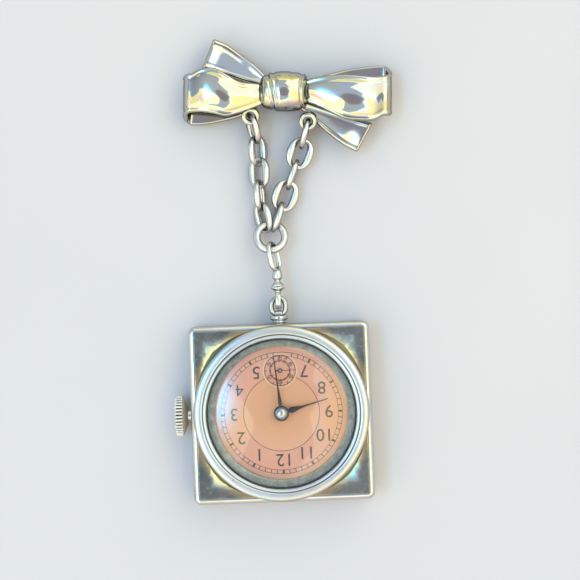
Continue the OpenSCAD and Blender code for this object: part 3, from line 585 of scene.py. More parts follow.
INK = ink("dial_ink", (0.035, 0.015, 0.012), (0.1, 0.045, 0.03)), "dial_paint"
# Cream for a painted highlight on the lip of the seconds dial.
RIM_HIGHLIGHT = ink("rim_highlight", (0.98, 0.74, 0.52), (0.9, 0.62, 0.42)), "dial_paint"
FINE_INK = ink("fine_ink", (0.09, 0.03, 0.02), (0.19, 0.07, 0.05)), "dial_paint"


# Bow

# Rows of a loop from the knot out and back behind it: distance out as a share of the loop's length, its
# two edges as shares of the ribbon's width, height as a share of the bow's, and how much it arches
LEFT_FRONT = [(0.15, -0.21, 0.14, 0.64, 0.03), (0.30, -0.36, 0.17, 0.73, 0.07),
              (0.46, -0.48, 0.21, 0.79, 0.10), (0.58, -0.54, 0.35, 0.82, 0.12),
              (0.70, -0.49, 0.48, 0.82, 0.12), (0.82, -0.45, 0.48, 0.79, 0.10),
              (0.93, -0.45, 0.38, 0.71, 0.06)]
LEFT_BACK = [(0.93, -0.69, 0.30, 0.36, 0), (0.82, -0.68, 0.41, 0.35, 0), (0.65, -0.62, 0.38, 0.35, 0),
             (0.42, -0.49, 0.19, 0.37, 0), (0.18, -0.24, 0.10, 0.44, 0)]
RIGHT_FRONT = [(0.16, -0.21, 0.21, 0.64, 0.03), (0.30, -0.29, 0.30, 0.73, 0.07),
               (0.45, -0.33, 0.46, 0.79, 0.10), (0.59, -0.35, 0.60, 0.82, 0.12),
               (0.73, -0.33, 0.63, 0.82, 0.12), (0.85, -0.31, 0.62, 0.79, 0.10),
               (0.94, -0.33, 0.52, 0.71, 0.06)]
RIGHT_BACK = [(0.94, -0.58, 0.46, 0.36, 0), (0.80, -0.56, 0.56, 0.35, 0), (0.61, -0.50, 0.52, 0.35, 0),
              (0.43, -0.40, 0.40, 0.37, 0), (0.22, -0.24, 0.16, 0.44, 0)]
# Rows of a tail: its two edge points as shares of the ribbon's width, and height as a share of the bow's
LEFT_TAIL = [(0.35, 0.32, 0.41, 0.10, 0.46), (0.63, 0.60, 0.73, 0.19, 0.44), (0.94, 0.83, 1.05, 0.29, 0.42),
             (1.21, 1.02, 1.37, 0.38, 0.42), (1.45, 1.12, 1.69, 0.48, 0.45)]
RIGHT_TAIL = [(0.37, 0.37, 0.41, 0.16, 0.46), (0.67, 0.64, 0.78, 0.29, 0.44), (0.97, 0.90, 1.13, 0.41, 0.42),
              (1.25, 1.11, 1.48, 0.54, 0.42), (1.51, 1.25, 1.83, 0.65, 0.45)]
# Rows of the knot: place across it, breadth and depth, as shares of its half sizes
KNOT = [(-1.12, 0.62, 0.50), (-0.95, 0.80, 0.76), (-0.62, 0.91, 0.90), (-0.20, 0.99, 0.99),
        (0.20, 1.00, 1.00), (0.58, 0.95, 0.94), (0.80, 0.88, 0.88), (1.00, 0.78, 0.74), (1.10, 0.60, 0.50)]


def curve_through(rows, per):
    """Smooth rows through the given rows, with so many steps between two of them."""
    p = np.array(rows, float)
    p = np.vstack([2 * p[0] - p[1], p, 2 * p[-1] - p[-2]])
    out = []
    for i in range(1, len(p) - 2):
        a, b, c, d = p[i - 1], p[i], p[i + 1], p[i + 2]
        for k in range(per):
            t = k / per
            out.append(0.5 * (2 * b + (c - a) * t + (2 * a - 5 * b + 4 * c - d) * t * t
                              + (3 * b - a - 3 * c + d) * t ** 3))
    out.append(p[-2])
    return np.array(out)


def ribbon_solid(grid, lip):
    """Solid metal ribbon round a grid of middle points, its edges rounded and its long ones raised."""
    g = np.array(grid, float)
    rows, cols = g.shape[:2]
    du = np.gradient(g, axis=0)
    dv = np.gradient(g, axis=1)
    up = np.cross(du, dv)
    up /= np.linalg.norm(up, axis=2, keepdims=True)
    if up[0, cols // 2, 2] < 0:
        up = -up
    across = dv / np.linalg.norm(dv, axis=2, keepdims=True)
    onward = du / np.linalg.norm(du, axis=2, keepdims=True)
    turns = [math.pi * k / 8 for k in range(1, 8)]

    def section(i, shift, scale):
        """Points round row i: upper face, one long edge, lower face and the other edge."""
        h = RIBBON_T / 2 * scale
        width = np.concatenate([[0], np.cumsum(np.linalg.norm(np.diff(g[i], axis=0), axis=1))])
        out = []
        for j in range(cols):
            edge = min(width[j], width[-1] - width[j])
            rise = lip * (bell_curve(edge, 0.1, 0.16) - 0.45 * bell_curve(edge, 0.5, 0.2))
            out.append((j, up[i, j] * (h + rise * scale)))
        out += [(cols - 1, h * (up[i, -1] * math.cos(a) + across[i, -1] * math.sin(a))) for a in turns]
        out += [(j, -up[i, j] * h) for j in range(cols - 1, -1, -1)]
        out += [(0, -h * (up[i, 0] * math.cos(a) + across[i, 0] * math.sin(a))) for a in turns]
        return [g[i, j] + offset + onward[i, j] * shift for j, offset in out]

    caps = [math.radians(a) for a in (78, 60, 40, 20)]
    rings = [section(0, -RIBBON_T / 2 * math.sin(a), math.cos(a)) for a in caps]
    rings += [section(i, 0, 1) for i in range(rows)]
    rings += [section(rows - 1, RIBBON_T / 2 * math.sin(a), math.cos(a)) for a in reversed(caps)]
    return tube_solid(rings)


def dents(x, y, seed):
    """Small smooth unevenness of hand-formed metal, in mm."""
    r = np.random.RandomState(seed)
    out = 0.0
    for _ in range(7):
        fx, fy, ph, amp = r.uniform(-1.6, 1.6), r.uniform(-1.6, 1.6), r.uniform(0, 6.28), r.uniform(0.2, 1.0)
        out += amp * math.sin(fx * x + fy * y + ph)
    return out * 0.012


def ribbon(front, behind, side, length, seed):
    """One loop of the bow: its front, the bend at its outer end and the back that returns to the knot."""
    last, first = front[-1], behind[0]
    bend = []
    for i in range(1, 6):
        s = i / 6
        a = math.pi * s
        mix, out = (1 - math.cos(a)) / 2, 0.07 * math.sin(a)
        bend.append([last[k] + (first[k] - last[k]) * mix + (out if k == 0 else 0) for k in range(4)]
                    + [last[4] * (1 - s)])
    steps = [0.5 - 0.5 * math.cos(math.pi * k / 40) for k in range(41)]
    grid = []
    rows = curve_through([*map(list, front), *bend, *map(list, behind)], 8)
    for u, low, high, z, arch in rows:
        inset = RIBBON_T / 2 / (abs(high - low) * RIBBON_W)
        line = []
        for step in steps:
            w = inset + (1 - 2 * inset) * step
            x, y = length * u, RIBBON_W * (low + (high - low) * w)
            lift = RIBBON_W * arch * (0.5 - (2 * w - 1) ** 2)
            line.append([side * x, -side * y, BOW_H * z + lift + dents(x, y, seed)])
        grid.append(line)
    return ribbon_solid(grid, 0.07)


def tail(table, side, seed):
    grid = []
    for ax, ay, bx, by, z in curve_through(table, 10):
        inset = RIBBON_T / 2 / (RIBBON_W * math.hypot(bx - ax, by - ay))
        line = []
        for k in range(33):
            w = inset + (1 - 2 * inset) * k / 32
            x, y = RIBBON_W * (ax + (bx - ax) * w), RIBBON_W * (ay + (by - ay) * w)
            fold = 0.1 + 1.05 * w - 0.25 * w * w
            line.append([side * x, -side * y, BOW_H * (z + 0.1 * fold) + dents(x, y, seed) * 0.6])
        grid.append(line)
    return ribbon_solid(grid, 0.05)


def knot():
    """The band round the bow's middle, with slanting pleats and a rolled right edge."""
    rings = []
    for x, b, d in curve_through(KNOT, 9):
        ring = []
        for k in range(96):
            a = 2 * math.pi * k / 96
            c, s = math.cos(a), math.sin(a)
            pleat = -0.62 - 0.17 * c
            g = 0.08 * bell_curve(x, pleat + 0.14, 0.07) - 0.2 * bell_curve(x, pleat, 0.07)
            g -= 0.12 * bell_curve(x, pleat + 0.3, 0.06) * (0.6 + 0.4 * c)
            g -= 0.08 * bell_curve(x, 0.3 + 0.12 * c, 0.1) * max(0.0, c)
            g += 0.16 * bell_curve(x, 0.95, 0.055) - 0.1 * bell_curve(x, 0.84, 0.05)
            scale = 1 + g / (KNOT_B / 2 * max(b, 0.3))
            bow_x = x + 0.13 * c * c * (1 if x > 0.55 else max(0, x / 0.55)) - 0.05
            z = KNOT_Z + KNOT_D / 2 * d * scale * squared(s, 1.2)
            ring.append((KNOT_W / 2 * bow_x, KNOT_B / 2 * b * scale * squared(c, 1.2),
                         min(z, BOW_H + 0.12)))
        rings.append(ring)
    return tube_solid(rings)


def in_bow(solid):
    return moved(solid, rot("z", -BOW_TURN), (*KNOT_C, 0))


def chain_eye(place):
    """A small tilted ring behind the bow's lower edge, on a short post."""
    h = EYE_T / 2
    ring = lathe([(EYE_HOLE / 2, -h), (EYE_OD / 2, -h), (EYE_OD / 2, h), (EYE_HOLE / 2, h)], 72, 0.22)
    post = cylinder(0.34, BOW_H * 0.37, EYE_Z + EYE_T / 2 - 0.1, 24)
    return joined(moved(ring, rot("x", EYE_TILT), (*place, EYE_Z)),
                  moved(post, None, (place[0], place[1] + EYE_OD / 2 - 0.12, 0)))


folded = {"bow_left_loop": ribbon(LEFT_FRONT, LEFT_BACK, -1, LEFT_L, 3),
          "bow_right_loop": ribbon(RIGHT_FRONT, RIGHT_BACK, 1, RIGHT_L, 8),
          "bow_left_tail": tail(LEFT_TAIL, -1, 5),
          "bow_right_tail": tail(RIGHT_TAIL, 1, 6),
          "bow_knot": knot()}
for name, solid in folded.items():
    piece(name, in_bow(solid), SILVER, "bow", 60)
pin_post = cylinder(0.7, 1.78, BOW_H * 0.35, 32)
soldered = {"bow_eye_left": chain_eye(EYES[0]),
            "bow_eye_right": chain_eye(EYES[1]),
            "bow_pin_posts": joined(*[moved(pin_post, None, (x, -0.5, 0)) for x in (-9.25, 9.25)])}
for name, solid in soldered.items():
    piece(name, in_bow(solid), SILVER, "bow", 50)
copied("brooch_pin", "brooch_pin_metal", CHAIN, 0.05)


# Chains, ring, swivel and bail

reach = LINK["l"] / 2 - LINK["end"] / 2
hook_r = RING_R - RING_WIRE / 2 - LINK["end"] / 2 - 0.07


def link_places(hook, steps, eye):
    """Place, direction and slope of a chain's links: 5 hangs in the ring and 1 in the bow's eye."""
    h = math.radians(hook[0])
    c = np.array([RING_C[0] + hook_r * math.cos(h),
                  RING_C[1] + hook_r * math.sin(h) * math.cos(math.radians(RING_TILT)), CHAIN_Z])
    c = c + reach * heading(hook[1])
    out = {5: (c, hook[1], 0.0)}
    for n in (4, 3, 2):
        c = c + LINK_PITCH * heading(steps[4 - n])
        out[n] = (c, steps[2] if n == 2 else (steps[4 - n] + steps[5 - n]) / 2, 0.0)
    e = in_bow(([(*eye, EYE_Z)], ()))[0][0]
    flat = e[:2] - c[:2]
    a = math.degrees(math.atan2(flat[1], flat[0]))
    slope = math.degrees(math.asin((e[2] - c[2]) / (LINK_PITCH / 2 + reach)))
    run = np.linalg.norm(flat) - reach * math.cos(math.radians(slope))
    place = np.array([c[0], c[1], 0]) + run * heading(a)
    place[2] = e[2] - reach * math.sin(math.radians(slope))
    out[1] = (place, a, slope)
    return out


link = wire_loop((LINK["w"], LINK["l"]), (LINK["w"] - 2 * LINK["side"], LINK["l"] - 2 * LINK["end"]),
                 LINK["t"], LINK["end_t"])
for chain, hook, steps, turns, eye in (("left", LEFT_HOOK, LEFT_STEPS, LEFT_TURNS, EYES[0]),
                                       ("right", RIGHT_HOOK, RIGHT_STEPS, RIGHT_TURNS, EYES[1])):
    for n, (place, a, slope) in link_places(hook, steps, eye).items():
        piece(f"link_{chain}_{n}_wire", along(link, place, a, slope, turns[n - 1]), CHAIN,
              f"link_{chain}_{n}", 60)

ring = moved(round_wire(RING_R, RING_WIRE, 128, 28), rot("x", -RING_TILT),
             (*RING_C, PENDANT_Z - RING_R * math.sin(math.radians(RING_TILT))))
piece("ring_wire", ring, CHAIN, "ring", 60)

loop_foot = LOOP_Y - BELL_Y
bell = turned([(0.3, 0), (BELL_W / 2, 0), (BELL_W / 2, 0.12), (0.6, 0.34), (0.38, 0.58), (0.35, 0.7),
               (0.62, BELL_TOP), (0.68, BELL_TOP + 0.3), (0.5, loop_foot + 0.12), (0, loop_foot + 0.2),
               (0, BELL_TOP + 0.3), (0.46, BELL_TOP + 0.3), (0.46, BELL_TOP), (0.3, 0.6)],
              "y", (HANG_X, BELL_Y, PENDANT_Z), 96)
loop = oval(LOOP_W, LOOP_L, LOOP_WIRE, LOOP_T, LOOP_WIRE, 112, 22, 1.0)
loop = along(moved(loop, None, (0, LOOP_L / 2 - 0.12, 0)), (HANG_X, LOOP_Y, PENDANT_Z), 101, 0, 62)
piece("swivel_loop_metal", joined(bell, loop), CHAIN, "swivel_loop", 50)

neck_y, shaft_end = SWIVEL_Y - NECK_LEN, NECK_LEN + 0.18 + BELL_TOP + 0.24
shank = turned([(0, -0.12), (0.36, 0), (0.42, 0.22), (0.62, 0.38), (FLANGE_W / 2, NECK_LEN - 0.16),
                (FLANGE_W / 2, NECK_LEN), (0.26, NECK_LEN), (0.26, shaft_end - 0.2), (0.42, shaft_end - 0.2),
                (0.42, shaft_end), (0, shaft_end)], "y", (HANG_X, neck_y, PENDANT_Z), 96)
eye = oval(SHANK_W, SHANK_L, SHANK_WIRE, SHANK_T, SHANK_T, 96, 22, 1.15)
eye = along(eye, (HANG_X, neck_y - SHANK_L / 2 + 0.12, PENDANT_Z), 90, 0, 90)
piece("swivel_eye_metal", joined(shank, eye), CHAIN, "swivel_eye", 50)


def bail():
    """Oval bail, thinner and squarer where it passes through the pendant."""
    rings = []
    for i in range(96):
        a = 2 * math.pi * (i + 0.5) / 96
        low = max(0.0, -math.sin(a))
        wire = BAIL_WIRE + (BAIL_PIN - BAIL_WIRE) * low ** 2
        full = 1.08 + 0.42 * low
        ring = []
        for k in range(22):
            b = 2 * math.pi * k / 22
            r = wire / 2 * math.cos(b)
            ring.append((((BAIL_W - BAIL_WIRE) / 2 + r) * squared(math.cos(a), full),
                         (BAIL_PITCH / 2 + r) * squared(math.sin(a), full), wire / 2 * math.sin(b)))
        rings.append(ring)
    return moved(looped(rings), None, (HANG_X, PIN_Y + BAIL_PITCH / 2, PENDANT_Z))


piece("bail_wire", bail(), SILVER, "bail", 60)


# Case

def square_ring(inset, z):
    """The case's outline, pulled in by an inset, with points round its corners and along its sides."""
    r = max(CASE_CORNER - inset, 0.06)
    hw, hl = CASE_W / 2 - inset - r, CASE_L / 2 - inset - r
    centres = [np.array([x * hw, y * hl, z]) for x, y in ((1, 1), (-1, 1), (-1, -1), (1, -1))]
    pts = []
    for q in range(4):
        pts += [centres[q] + r * heading(90 * q + 90 * k / 12) for k in range(13)]
        start, end = (c + r * heading(90 * q + 90) for c in (centres[q], centres[(q + 1) % 4]))
        pts += [start + (end - start) * k / 12 for k in range(1, 12)]
    return pts


def round_ring(r, z, like):
    """A circle whose points lie in the same directions as another ring's."""
    return [(r * x / math.hypot(x, y), r * y / math.hypot(x, y), z) for x, y, _ in like]


def case_body():
    """The hollow case from its back up: side, rounded shoulder, groove line, plate and pocket."""
    levels = [(1.6, 0.0), (0.55, 0.0), (0.42, 0.0), (0.26, 0.05), (0.1, 0.17), (0.02, 0.33), (0, 0.45),
              (0, 0.6), (0, 1.2)]
    upper = [(0, 1.2), (0, 0.68), (0.005, 0.54), (0.02, 0.44)]
    round_r, round_in = 0.7, 0.655
    for k in range(11):
        tilt = math.radians(62 - 6.2 * k)
        upper.append((round_in - round_r * math.sin(tilt), round_r * (1 - math.cos(tilt))))
    upper += [(0.668, 0.002), (0.684, 0.025), (0.7, 0.055), (0.735, 0.055), (0.752, 0.025), (0.77, 0.002),
              (0.8, 0), (0.95, 0)]
    levels += [(inset, CASE_H - drop) for inset, drop in upper]
    rings = [square_ring(inset, z) for inset, z in levels]
    pocket = ((POCKET_R + 0.05, CASE_H), (POCKET_R, CASE_H - 0.05), (POCKET_R, BACK_T + 0.1),
              (POCKET_R - 0.1, BACK_T))
    return tube_solid(rings + [round_ring(r, z, rings[-1]) for r, z in pocket])


piece("case_body", case_body(), CASE_METAL, "case", 50)
pendant = [(0, 0), (1.25, 0), (1.15, 0.3), (0.88, 0.5), (0.85, 0.66), (1.1, 0.84), (1.22, 0.95),
           (1.22, 1.21), (1.1, 1.35), (0.5, 1.35), (0, 1.32)]
pin_hole = BAIL_PIN / 2 + 0.11
head = [(pin_hole, -0.45), (0.54, -0.45), (0.54, 0.45), (pin_hole, 0.45)]
tube = [(0.49, 0), (0.7, 0), (0.7, 1.0), (0.49, 1.0)]
for name, outline, axis, place, steps, radius in (
        ("case_pendant", pendant, "y", (HANG_X, TOP_Y - 0.3, PENDANT_Z), 96, 0.06),
        ("case_pendant_head", head, "x", (HANG_X, PIN_Y, PENDANT_Z), 72, 0.09),
        ("crown_tube", tube, "x", (TUBE_X, 0, CROWN_Z), 64, 0.06)):
    piece(name, turned(outline, axis, place, steps, radius), CASE_METAL, "case", 50)


# Bezel and crystal

def bezel_band(bead_x):
    """Raised outer band, the step that holds the bead, the crystal's seat and the inner slope."""
    foot = DIAL_TOP + 0.03
    crest = [(BEZEL_R - a, BEZEL_TOP - b) for a, b in (
        (0, 0.52), (0.03, 0.36), (0.13, 0.2), (0.32, 0.075), (0.6, 0.012), (0.86, 0), (1.04, 0.022),
        (BAND_W, 0.07))]
    outline = [
        (OPENING_R, foot), (POCKET_R - 0.05, foot), (POCKET_R - 0.05, BEZEL_Z), (BEZEL_R - 0.15, BEZEL_Z),
        (BEZEL_R, BEZEL_Z + 0.15), *curve_through(crest, 5),
        (BAND_IN - 0.04, BEZEL_TOP - 0.26), (bead_x, BEZEL_TOP - 0.26), (CRYSTAL_R + 0.04, BEZEL_TOP - 0.24),
        (CRYSTAL_R + 0.04, CRYSTAL_SEAT), (CRYSTAL_R - 0.45, CRYSTAL_SEAT), (OPENING_R, foot + 0.27)]
    return lathe(outline, 256, 0.04)


def crystal():
    """Domed glass with a steep shoulder."""
    edge, flat_r = CRYSTAL_SEAT + 0.03, CRYSTAL_R - 1
    top = edge + 0.55 + SHOULDER_H

    def dome(r, z):
        return [(r * i / 24, z + DOME_H * (1 - (i / 24) ** 2)) for i in range(25)]

    outer, inner = dome(flat_r, top), dome(flat_r * 0.985, top - CRYSTAL_T)[::-1]
    shoulder = soft([outer[-1], (CRYSTAL_R - 0.6, edge + 0.3 + SHOULDER_H),
                     (CRYSTAL_R - 0.2, edge + SHOULDER_H * 0.7), (CRYSTAL_R, edge + 0.4), (CRYSTAL_R, edge),
                     (CRYSTAL_R - 0.4, edge), (CRYSTAL_R - 0.75, edge + SHOULDER_H * 0.55), inner[0]],
                    0.25, closed=False, n=5)
    return spun(outer + shoulder[1:-1] + inner, 192)


bead_x = BAND_IN - BEAD_R - 0.06
piece("bezel_band", bezel_band(bead_x), BEZEL, "bezel", 50)
bead = moved(round_wire(bead_x, 2 * BEAD_R, 256, 20), None, (0, 0, BEZEL_TOP - 0.12))
piece("bezel_bead", bead, BEZEL, "bezel", 60)
piece("crystal_glass", crystal(), GLASS, "crystal", 60)


# Dial. The tops of printed rings, arcs and ticks differ a little in height, so that none share a plane.

def printed(r0, r1, low, high, angles, centre=(0, 0)):
    """Square sections of a thin printed line at the given angles round a centre."""
    corners = ((r0, low), (r1, low), (r1, high), (r0, high))
    return [[np.array([*centre, h]) + r * heading(a) for r, h in corners] for a in angles]


def flat_ring(r0, r1, z, centre=(0, 0), steps=192):
    angles = [360 * i / steps for i in range(steps)]
    return looped(printed(r0, r1, z - 0.004, z + 0.014, angles, centre))


def flat_arc(r0, r1, z, start, end, steps=160):
    angles = [start + (end - start) * k / steps for k in range(steps + 1)]
    return tube_solid(printed(r0, r1, z - 0.003, z + 0.011, angles))


def tick(angle, r0, r1, w, z, centre=(0, 0)):
    return moved(box_solid(r0, r1, -w / 2, w / 2, z - 0.004, z + 0.015), rot("z", angle), (*centre, 0))


def numeral(text, size, place, turn, z, offset, h=0.016):
    """Raised ink of one number, centred on its place; the offset thickens or thins its strokes."""
    cu = bpy.data.curves.new("numeral", "FONT")
    cu.body, cu.size, cu.align_x, cu.align_y = text, size, "CENTER", "CENTER"
    cu.offset, cu.extrude, cu.resolution_u = offset, h / 2, 6
    ob = linked("numeral", cu)
    bpy.context.view_layer.update()
    me = bpy.data.meshes.new_from_object(ob.evaluated_get(bpy.context.evaluated_depsgraph_get()))
    verts = [np.array(p.co) for p in me.vertices]
    faces = [tuple(p.vertices) for p in me.polygons]
    bpy.data.objects.remove(ob)
    bpy.data.meshes.remove(me)
    mid = (np.min(verts, axis=0) + np.max(verts, axis=0)) / 2
    return moved(([q - mid for q in verts], faces), rot("z", turn), (*place, z + h / 2 - 0.003))


def minute_track():
    """Two circles with ticks between them; the ticks are left out round the seconds dial."""
    track = [flat_ring(TRACK_IN - 0.02, TRACK_IN + 0.03, DIAL_TOP),
             flat_ring(TRACK_OUT - 0.03, TRACK_OUT + 0.03, DIAL_TOP)]
    for i in range(60):
        if np.linalg.norm(TRACK_MID * heading(6 * i) - (0, SECONDS_Y, 0)) < SECONDS_R + 0.18:
            continue
        track.append(tick(6 * i, TRACK_IN, TRACK_OUT, 0.26 if i % 5 == 0 else 0.09, DIAL_TOP))
    return joined(*track)


def seconds_track():
    marks = [flat_ring(1.22, 1.32, sub_z, sub_c, 96), flat_ring(1.97, 2.05, sub_z, sub_c, 96)]
    for i in range(60):
        long = i % 5 == 0
        marks.append(tick(6 * i, 1.12 if long else 1.27, 1.42, 0.12 if long else 0.05, sub_z, sub_c))
    for i in range(12):
        marks.append(tick(30 * i, 1.72, 2.0, 0.11, sub_z, sub_c))
    return joined(*marks)


def hour_numerals():
    """Numbers without the 6, where the seconds dial lies; the 4 is thinner."""
    numbers = []
    for hour in (1, 2, 3, 4, 5, 7, 8, 9, 10, 11, 12):
        r = 6.25 if hour < 10 else 6.2
        numbers.append(numeral(str(hour), 2.32, (r * heading(270 - 30 * hour))[:2], 180, DIAL_TOP,
                               -0.014 if hour == 4 else 0.004))
    return joined(*numbers)


def seconds_numerals():
    numbers = []
    for k in range(1, 7):
        x, y, _ = 1.6 * heading(270 - 60 * k)
        numbers.append(numeral(str(10 * k), 0.6, (x, SECONDS_Y + y), 180 - 60 * k, sub_z, 0.006))
    return joined(*numbers)


sub_c, sub_z = (0, SECONDS_Y), DIAL_TOP - SINK
copied("dial", "dial_plate", DIAL)
inner_circle = flat_arc(CIRCLE_R - 0.035, CIRCLE_R + 0.035, DIAL_TOP, 113.5, 426.5)
# Painted highlight: a cream ring on the lip of the sunk seconds dial.
seconds_rim_highlight = flat_ring(SECONDS_R + 0.02, SECONDS_R + 0.17, DIAL_TOP, sub_c, 96)
for name, solid, look in (("minute_track", minute_track(), INK), ("inner_circle", inner_circle, FINE_INK),
                          ("seconds_rim_highlight", seconds_rim_highlight, RIM_HIGHLIGHT),
                          ("seconds_track", seconds_track(), FINE_INK), ("numerals", hour_numerals(), INK),
                          ("seconds_numerals", seconds_numerals(), FINE_INK)):
    piece("dial_" + name, solid, look, "dial", 30)
copied("movement", "movement_metal_body", MOVEMENT, 0.03)


# Hands and crown

def hand(length, width, z, angle, hole, neck=0.16, ridge=0.05):
    """Leaf hand with a faint ridge and a rounded hub."""
    shape = [(hole + 0.03, neck), (HUB_R * 0.94, neck), (HUB_R + 0.14, width * 0.4),
             (HUB_R * 1.45, width * 0.5), (HUB_R * 1.8, width * 0.44), (length * 0.42, width * 0.2),
             (length * 0.58, 0.095), (length * 0.8, 0.075), (length - 0.12, 0.055), (length, 0.03)]
    t = HAND_T
    rings = []
    for x, w in curve_through(shape, 5):
        w = max(w, 0.02)
        rings.append([(x, y, h) for y, h in (
            (-w, 0), (w, 0), (w, t * 0.55), (w * 0.6, t * 0.85), (0, t + ridge * min(1, w * 3)),
            (-w * 0.6, t * 0.85), (-w, t * 0.55))])
    hub = [(hole, 0), (HUB_R, 0), (HUB_R, t * 0.7), (HUB_R - 0.14, t + 0.02), (hole, t + 0.02)]
    return moved(joined(tube_solid(rings), lathe(hub, 96, 0.04)), rot("z", angle), (0, 0, z))


def needle():
    """Seconds hand: a small ring with a thin pointer and a short tail."""
    h, r_in, r_out = 0.1, 0.17, 0.3
    return joined(box_solid(-0.6, -0.2, -0.08, 0.08, 0, h), box_solid(0.2, SECONDS_LEN, -0.035, 0.035, 0, h),
                  lathe([(r_in, 0), (r_out, 0), (r_out, h), (r_in, h)], 64, 0.02))


def crown_head():
    """Domed crown with a fluted rim and a conical skirt, hollow where it takes the stem."""
    back = CROWN_RIM + CROWN_SKIRT
    outline = [(0, -0.18), (0.8, -0.165), (1.6, -0.1), (2.16, 0.0), (2.52, 0.06), (CROWN_R, 0.2),
               (CROWN_R, CROWN_RIM - 0.12), (CROWN_R - 0.14, CROWN_RIM), (CROWN_R * 0.5, back), (0.78, back),
               (0.78, back - 0.2), (0.49, CROWN_RIM + 0.33), (0.49, 0.66), (0, 0.66)]

    def flute(r, a):
        groove = bell_curve(a * FLUTES / (2 * math.pi) % 1.0, 0.5, 0.2)
        near_rim = min(1.0, max(0.0, (r - (CROWN_R - 0.34)) / 0.2))
        return r - (FLUTE_DEPTH + 0.07) * groove * near_rim

    return turned(outline, "x", (CROWN_END, 0, CROWN_Z), FLUTES * 12, 0.09, flute)


hour_hand = hand(HOUR_LEN, LEAF_W, HOUR_Z, HOUR_A, HOUR_POST + RUN)
minute_hand = hand(MINUTE_LEN, LEAF_W * 0.62, MINUTE_Z, MINUTE_A, MINUTE_POST + RUN)
seconds_hand = moved(needle(), rot("z", SECONDS_A), (0, SECONDS_Y, SECONDS_Z))
piece("hour_hand_leaf", hour_hand, BLUED, "hour_hand", 40, "hour")
piece("minute_hand_leaf", minute_hand, BLUED, "minute_hand", 40, "minute")
piece("seconds_hand_needle", seconds_hand, BLUED, "seconds_hand", 40, "seconds")
copied("seconds_wheel", "seconds_wheel_metal", MOVEMENT, 0.02, "seconds")
piece("crown_head", crown_head(), CROWN, "crown", 40, "crown")
copied("crown_stem", "crown_stem_rod", MOVEMENT, 0.05, "stem")


# Floor, light and camera

def floor(half=1.5, z=-0.00002):
    """A pale sheet of paper just under the part; its sizes are in metres."""
    me = bpy.data.meshes.new("floor")
    corners = [(-half, -half, z), (half, -half, z), (half, half, z), (-half, half, z)]
    me.from_pydata(corners, [], [(0, 1, 2, 3)])
    m, nt, bsdf, coord = shader("floor_paper", {"Roughness": 0.9, "Specular IOR Level": 0.1})
    tone = span(nt, noise(nt, coord, 0.02, 3), 0.3, 0.7, 0.0, 1.0)
    nt.links.new(mixed(nt, tone, (0.585, 0.585, 0.68), (0.565, 0.565, 0.66)), bsdf.inputs["Base Color"])
    me.materials.append(m)
    obj = linked("floor", me)


def area(name, place, target, size, power, colour):
    """Square area light; place, target and size are in mm."""
    li = bpy.data.lights.new(name, "AREA")
    li.size = size * MM
    li.energy, li.color = power, colour
    ob = linked(name, li)
    ob.location = Vector(place) * MM
    ob.rotation_mode = "QUATERNION"
    ob.rotation_quaternion = ((Vector(target) - Vector(place)) * MM).to_track_quat("-Z", "Y")


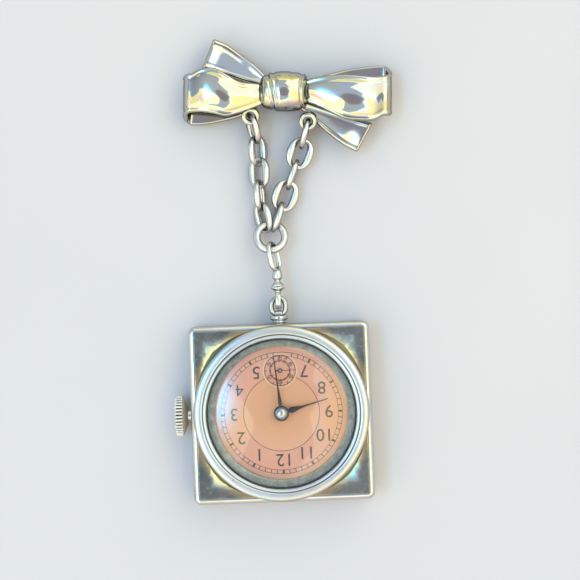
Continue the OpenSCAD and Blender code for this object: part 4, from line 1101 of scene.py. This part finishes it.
def room():
    """Soft light from all round: brightest high up, dim and rosy straight above.

    It has broad grey-blue, green-white, yellow and pink patches, and a blue-green glow to the left.
    """
    w = bpy.data.worlds.new("room")
    bpy.context.scene.world = w
    w.use_nodes = True
    nt = w.node_tree
    coord = add(nt, "TexCoord").outputs["Generated"]
    side = split(nt, coord)
    level = ramp(nt, side[2], [(0.0, 0.6), (0.22, 0.46), (0.5, (0.64, 0.64, 0.65)), (0.7, 0.92),
                               (0.84, 1.05), (0.972, 1.08), (0.98, (0.72, 0.58, 0.54)),
                               (0.999, (0.6, 0.5, 0.48)), (1.0, (0.58, 0.5, 0.47))])
    patch = add(nt, "TexNoise", {"Vector": coord, "Scale": 1.5, "Detail": 1.5}).outputs["Fac"]
    place = maths(nt, "ADD", patch, maths(nt, "MULTIPLY", side[1], -0.13))
    tint = ramp(nt, place, [(0.0, (0.3, 0.35, 0.42)), (0.405, (0.33, 0.38, 0.45)),
                            (0.412, (0.8, 0.92, 0.88)), (0.46, (0.82, 0.92, 0.74)),
                            (0.467, (0.92, 0.85, 0.43)), (0.6, (0.94, 0.84, 0.39)),
                            (0.607, (0.85, 0.64, 0.6)), (1.0, (0.62, 0.5, 0.5))])

    def dot(direction):
        return add(nt, "VectorMath", {0: coord, 1: direction}, operation="DOT_PRODUCT").outputs["Value"]

    towards = Vector((-0.4, 0.0, 0.916)).normalized()
    across = Vector((0.916, 0.0, 0.4)).normalized()
    u = maths(nt, "DIVIDE", dot(across), 0.085)
    v = maths(nt, "DIVIDE", maths(nt, "ADD", dot((0, 1, 0)), -0.04), 0.18)
    r2 = maths(nt, "ADD", maths(nt, "MULTIPLY", u, u), maths(nt, "MULTIPLY", v, v))
    fall = maths(nt, "POWER", 2.718, maths(nt, "MULTIPLY", r2, -1.0))
    fall = maths(nt, "MULTIPLY", fall, maths(nt, "GREATER_THAN", dot(towards), 0.0))
    glow = times(nt, (0.0, 3.2, 6.0), fall)
    bg = nt.nodes["Background"]
    nt.links.new(mixed(nt, 1.0, times(nt, level, tint), glow, "ADD"), bg.inputs["Color"])
    bg.inputs["Strength"].default_value = 2.12


def camera(centre, height, width, turn):
    """Camera straight above; at the table it sees a strip of the given width, in mm."""
    cam = bpy.data.cameras.new("camera")
    cam.sensor_width = 36
    cam.lens = cam.sensor_width * height / width
    cam.clip_start, cam.clip_end = 0.01, 10
    ob = linked("camera", cam)
    ob.location = Vector((*centre, height)) * MM
    ob.rotation_euler = (0, 0, math.radians(turn))
    bpy.context.scene.camera = ob


floor()
room()
area("soft_upper_right", (260, 230, 330), (0, 18, 0), 400, 0.6, (1.0, 0.93, 0.62))
area("soft_lower_left", (-300, -260, 260), (0, 10, 0), 380, 0.3, (0.92, 0.97, 1.0))
camera((1.74, 16.2), 250, 78.3, -2.2)
bpy.context.scene.view_settings.view_transform = "Standard"
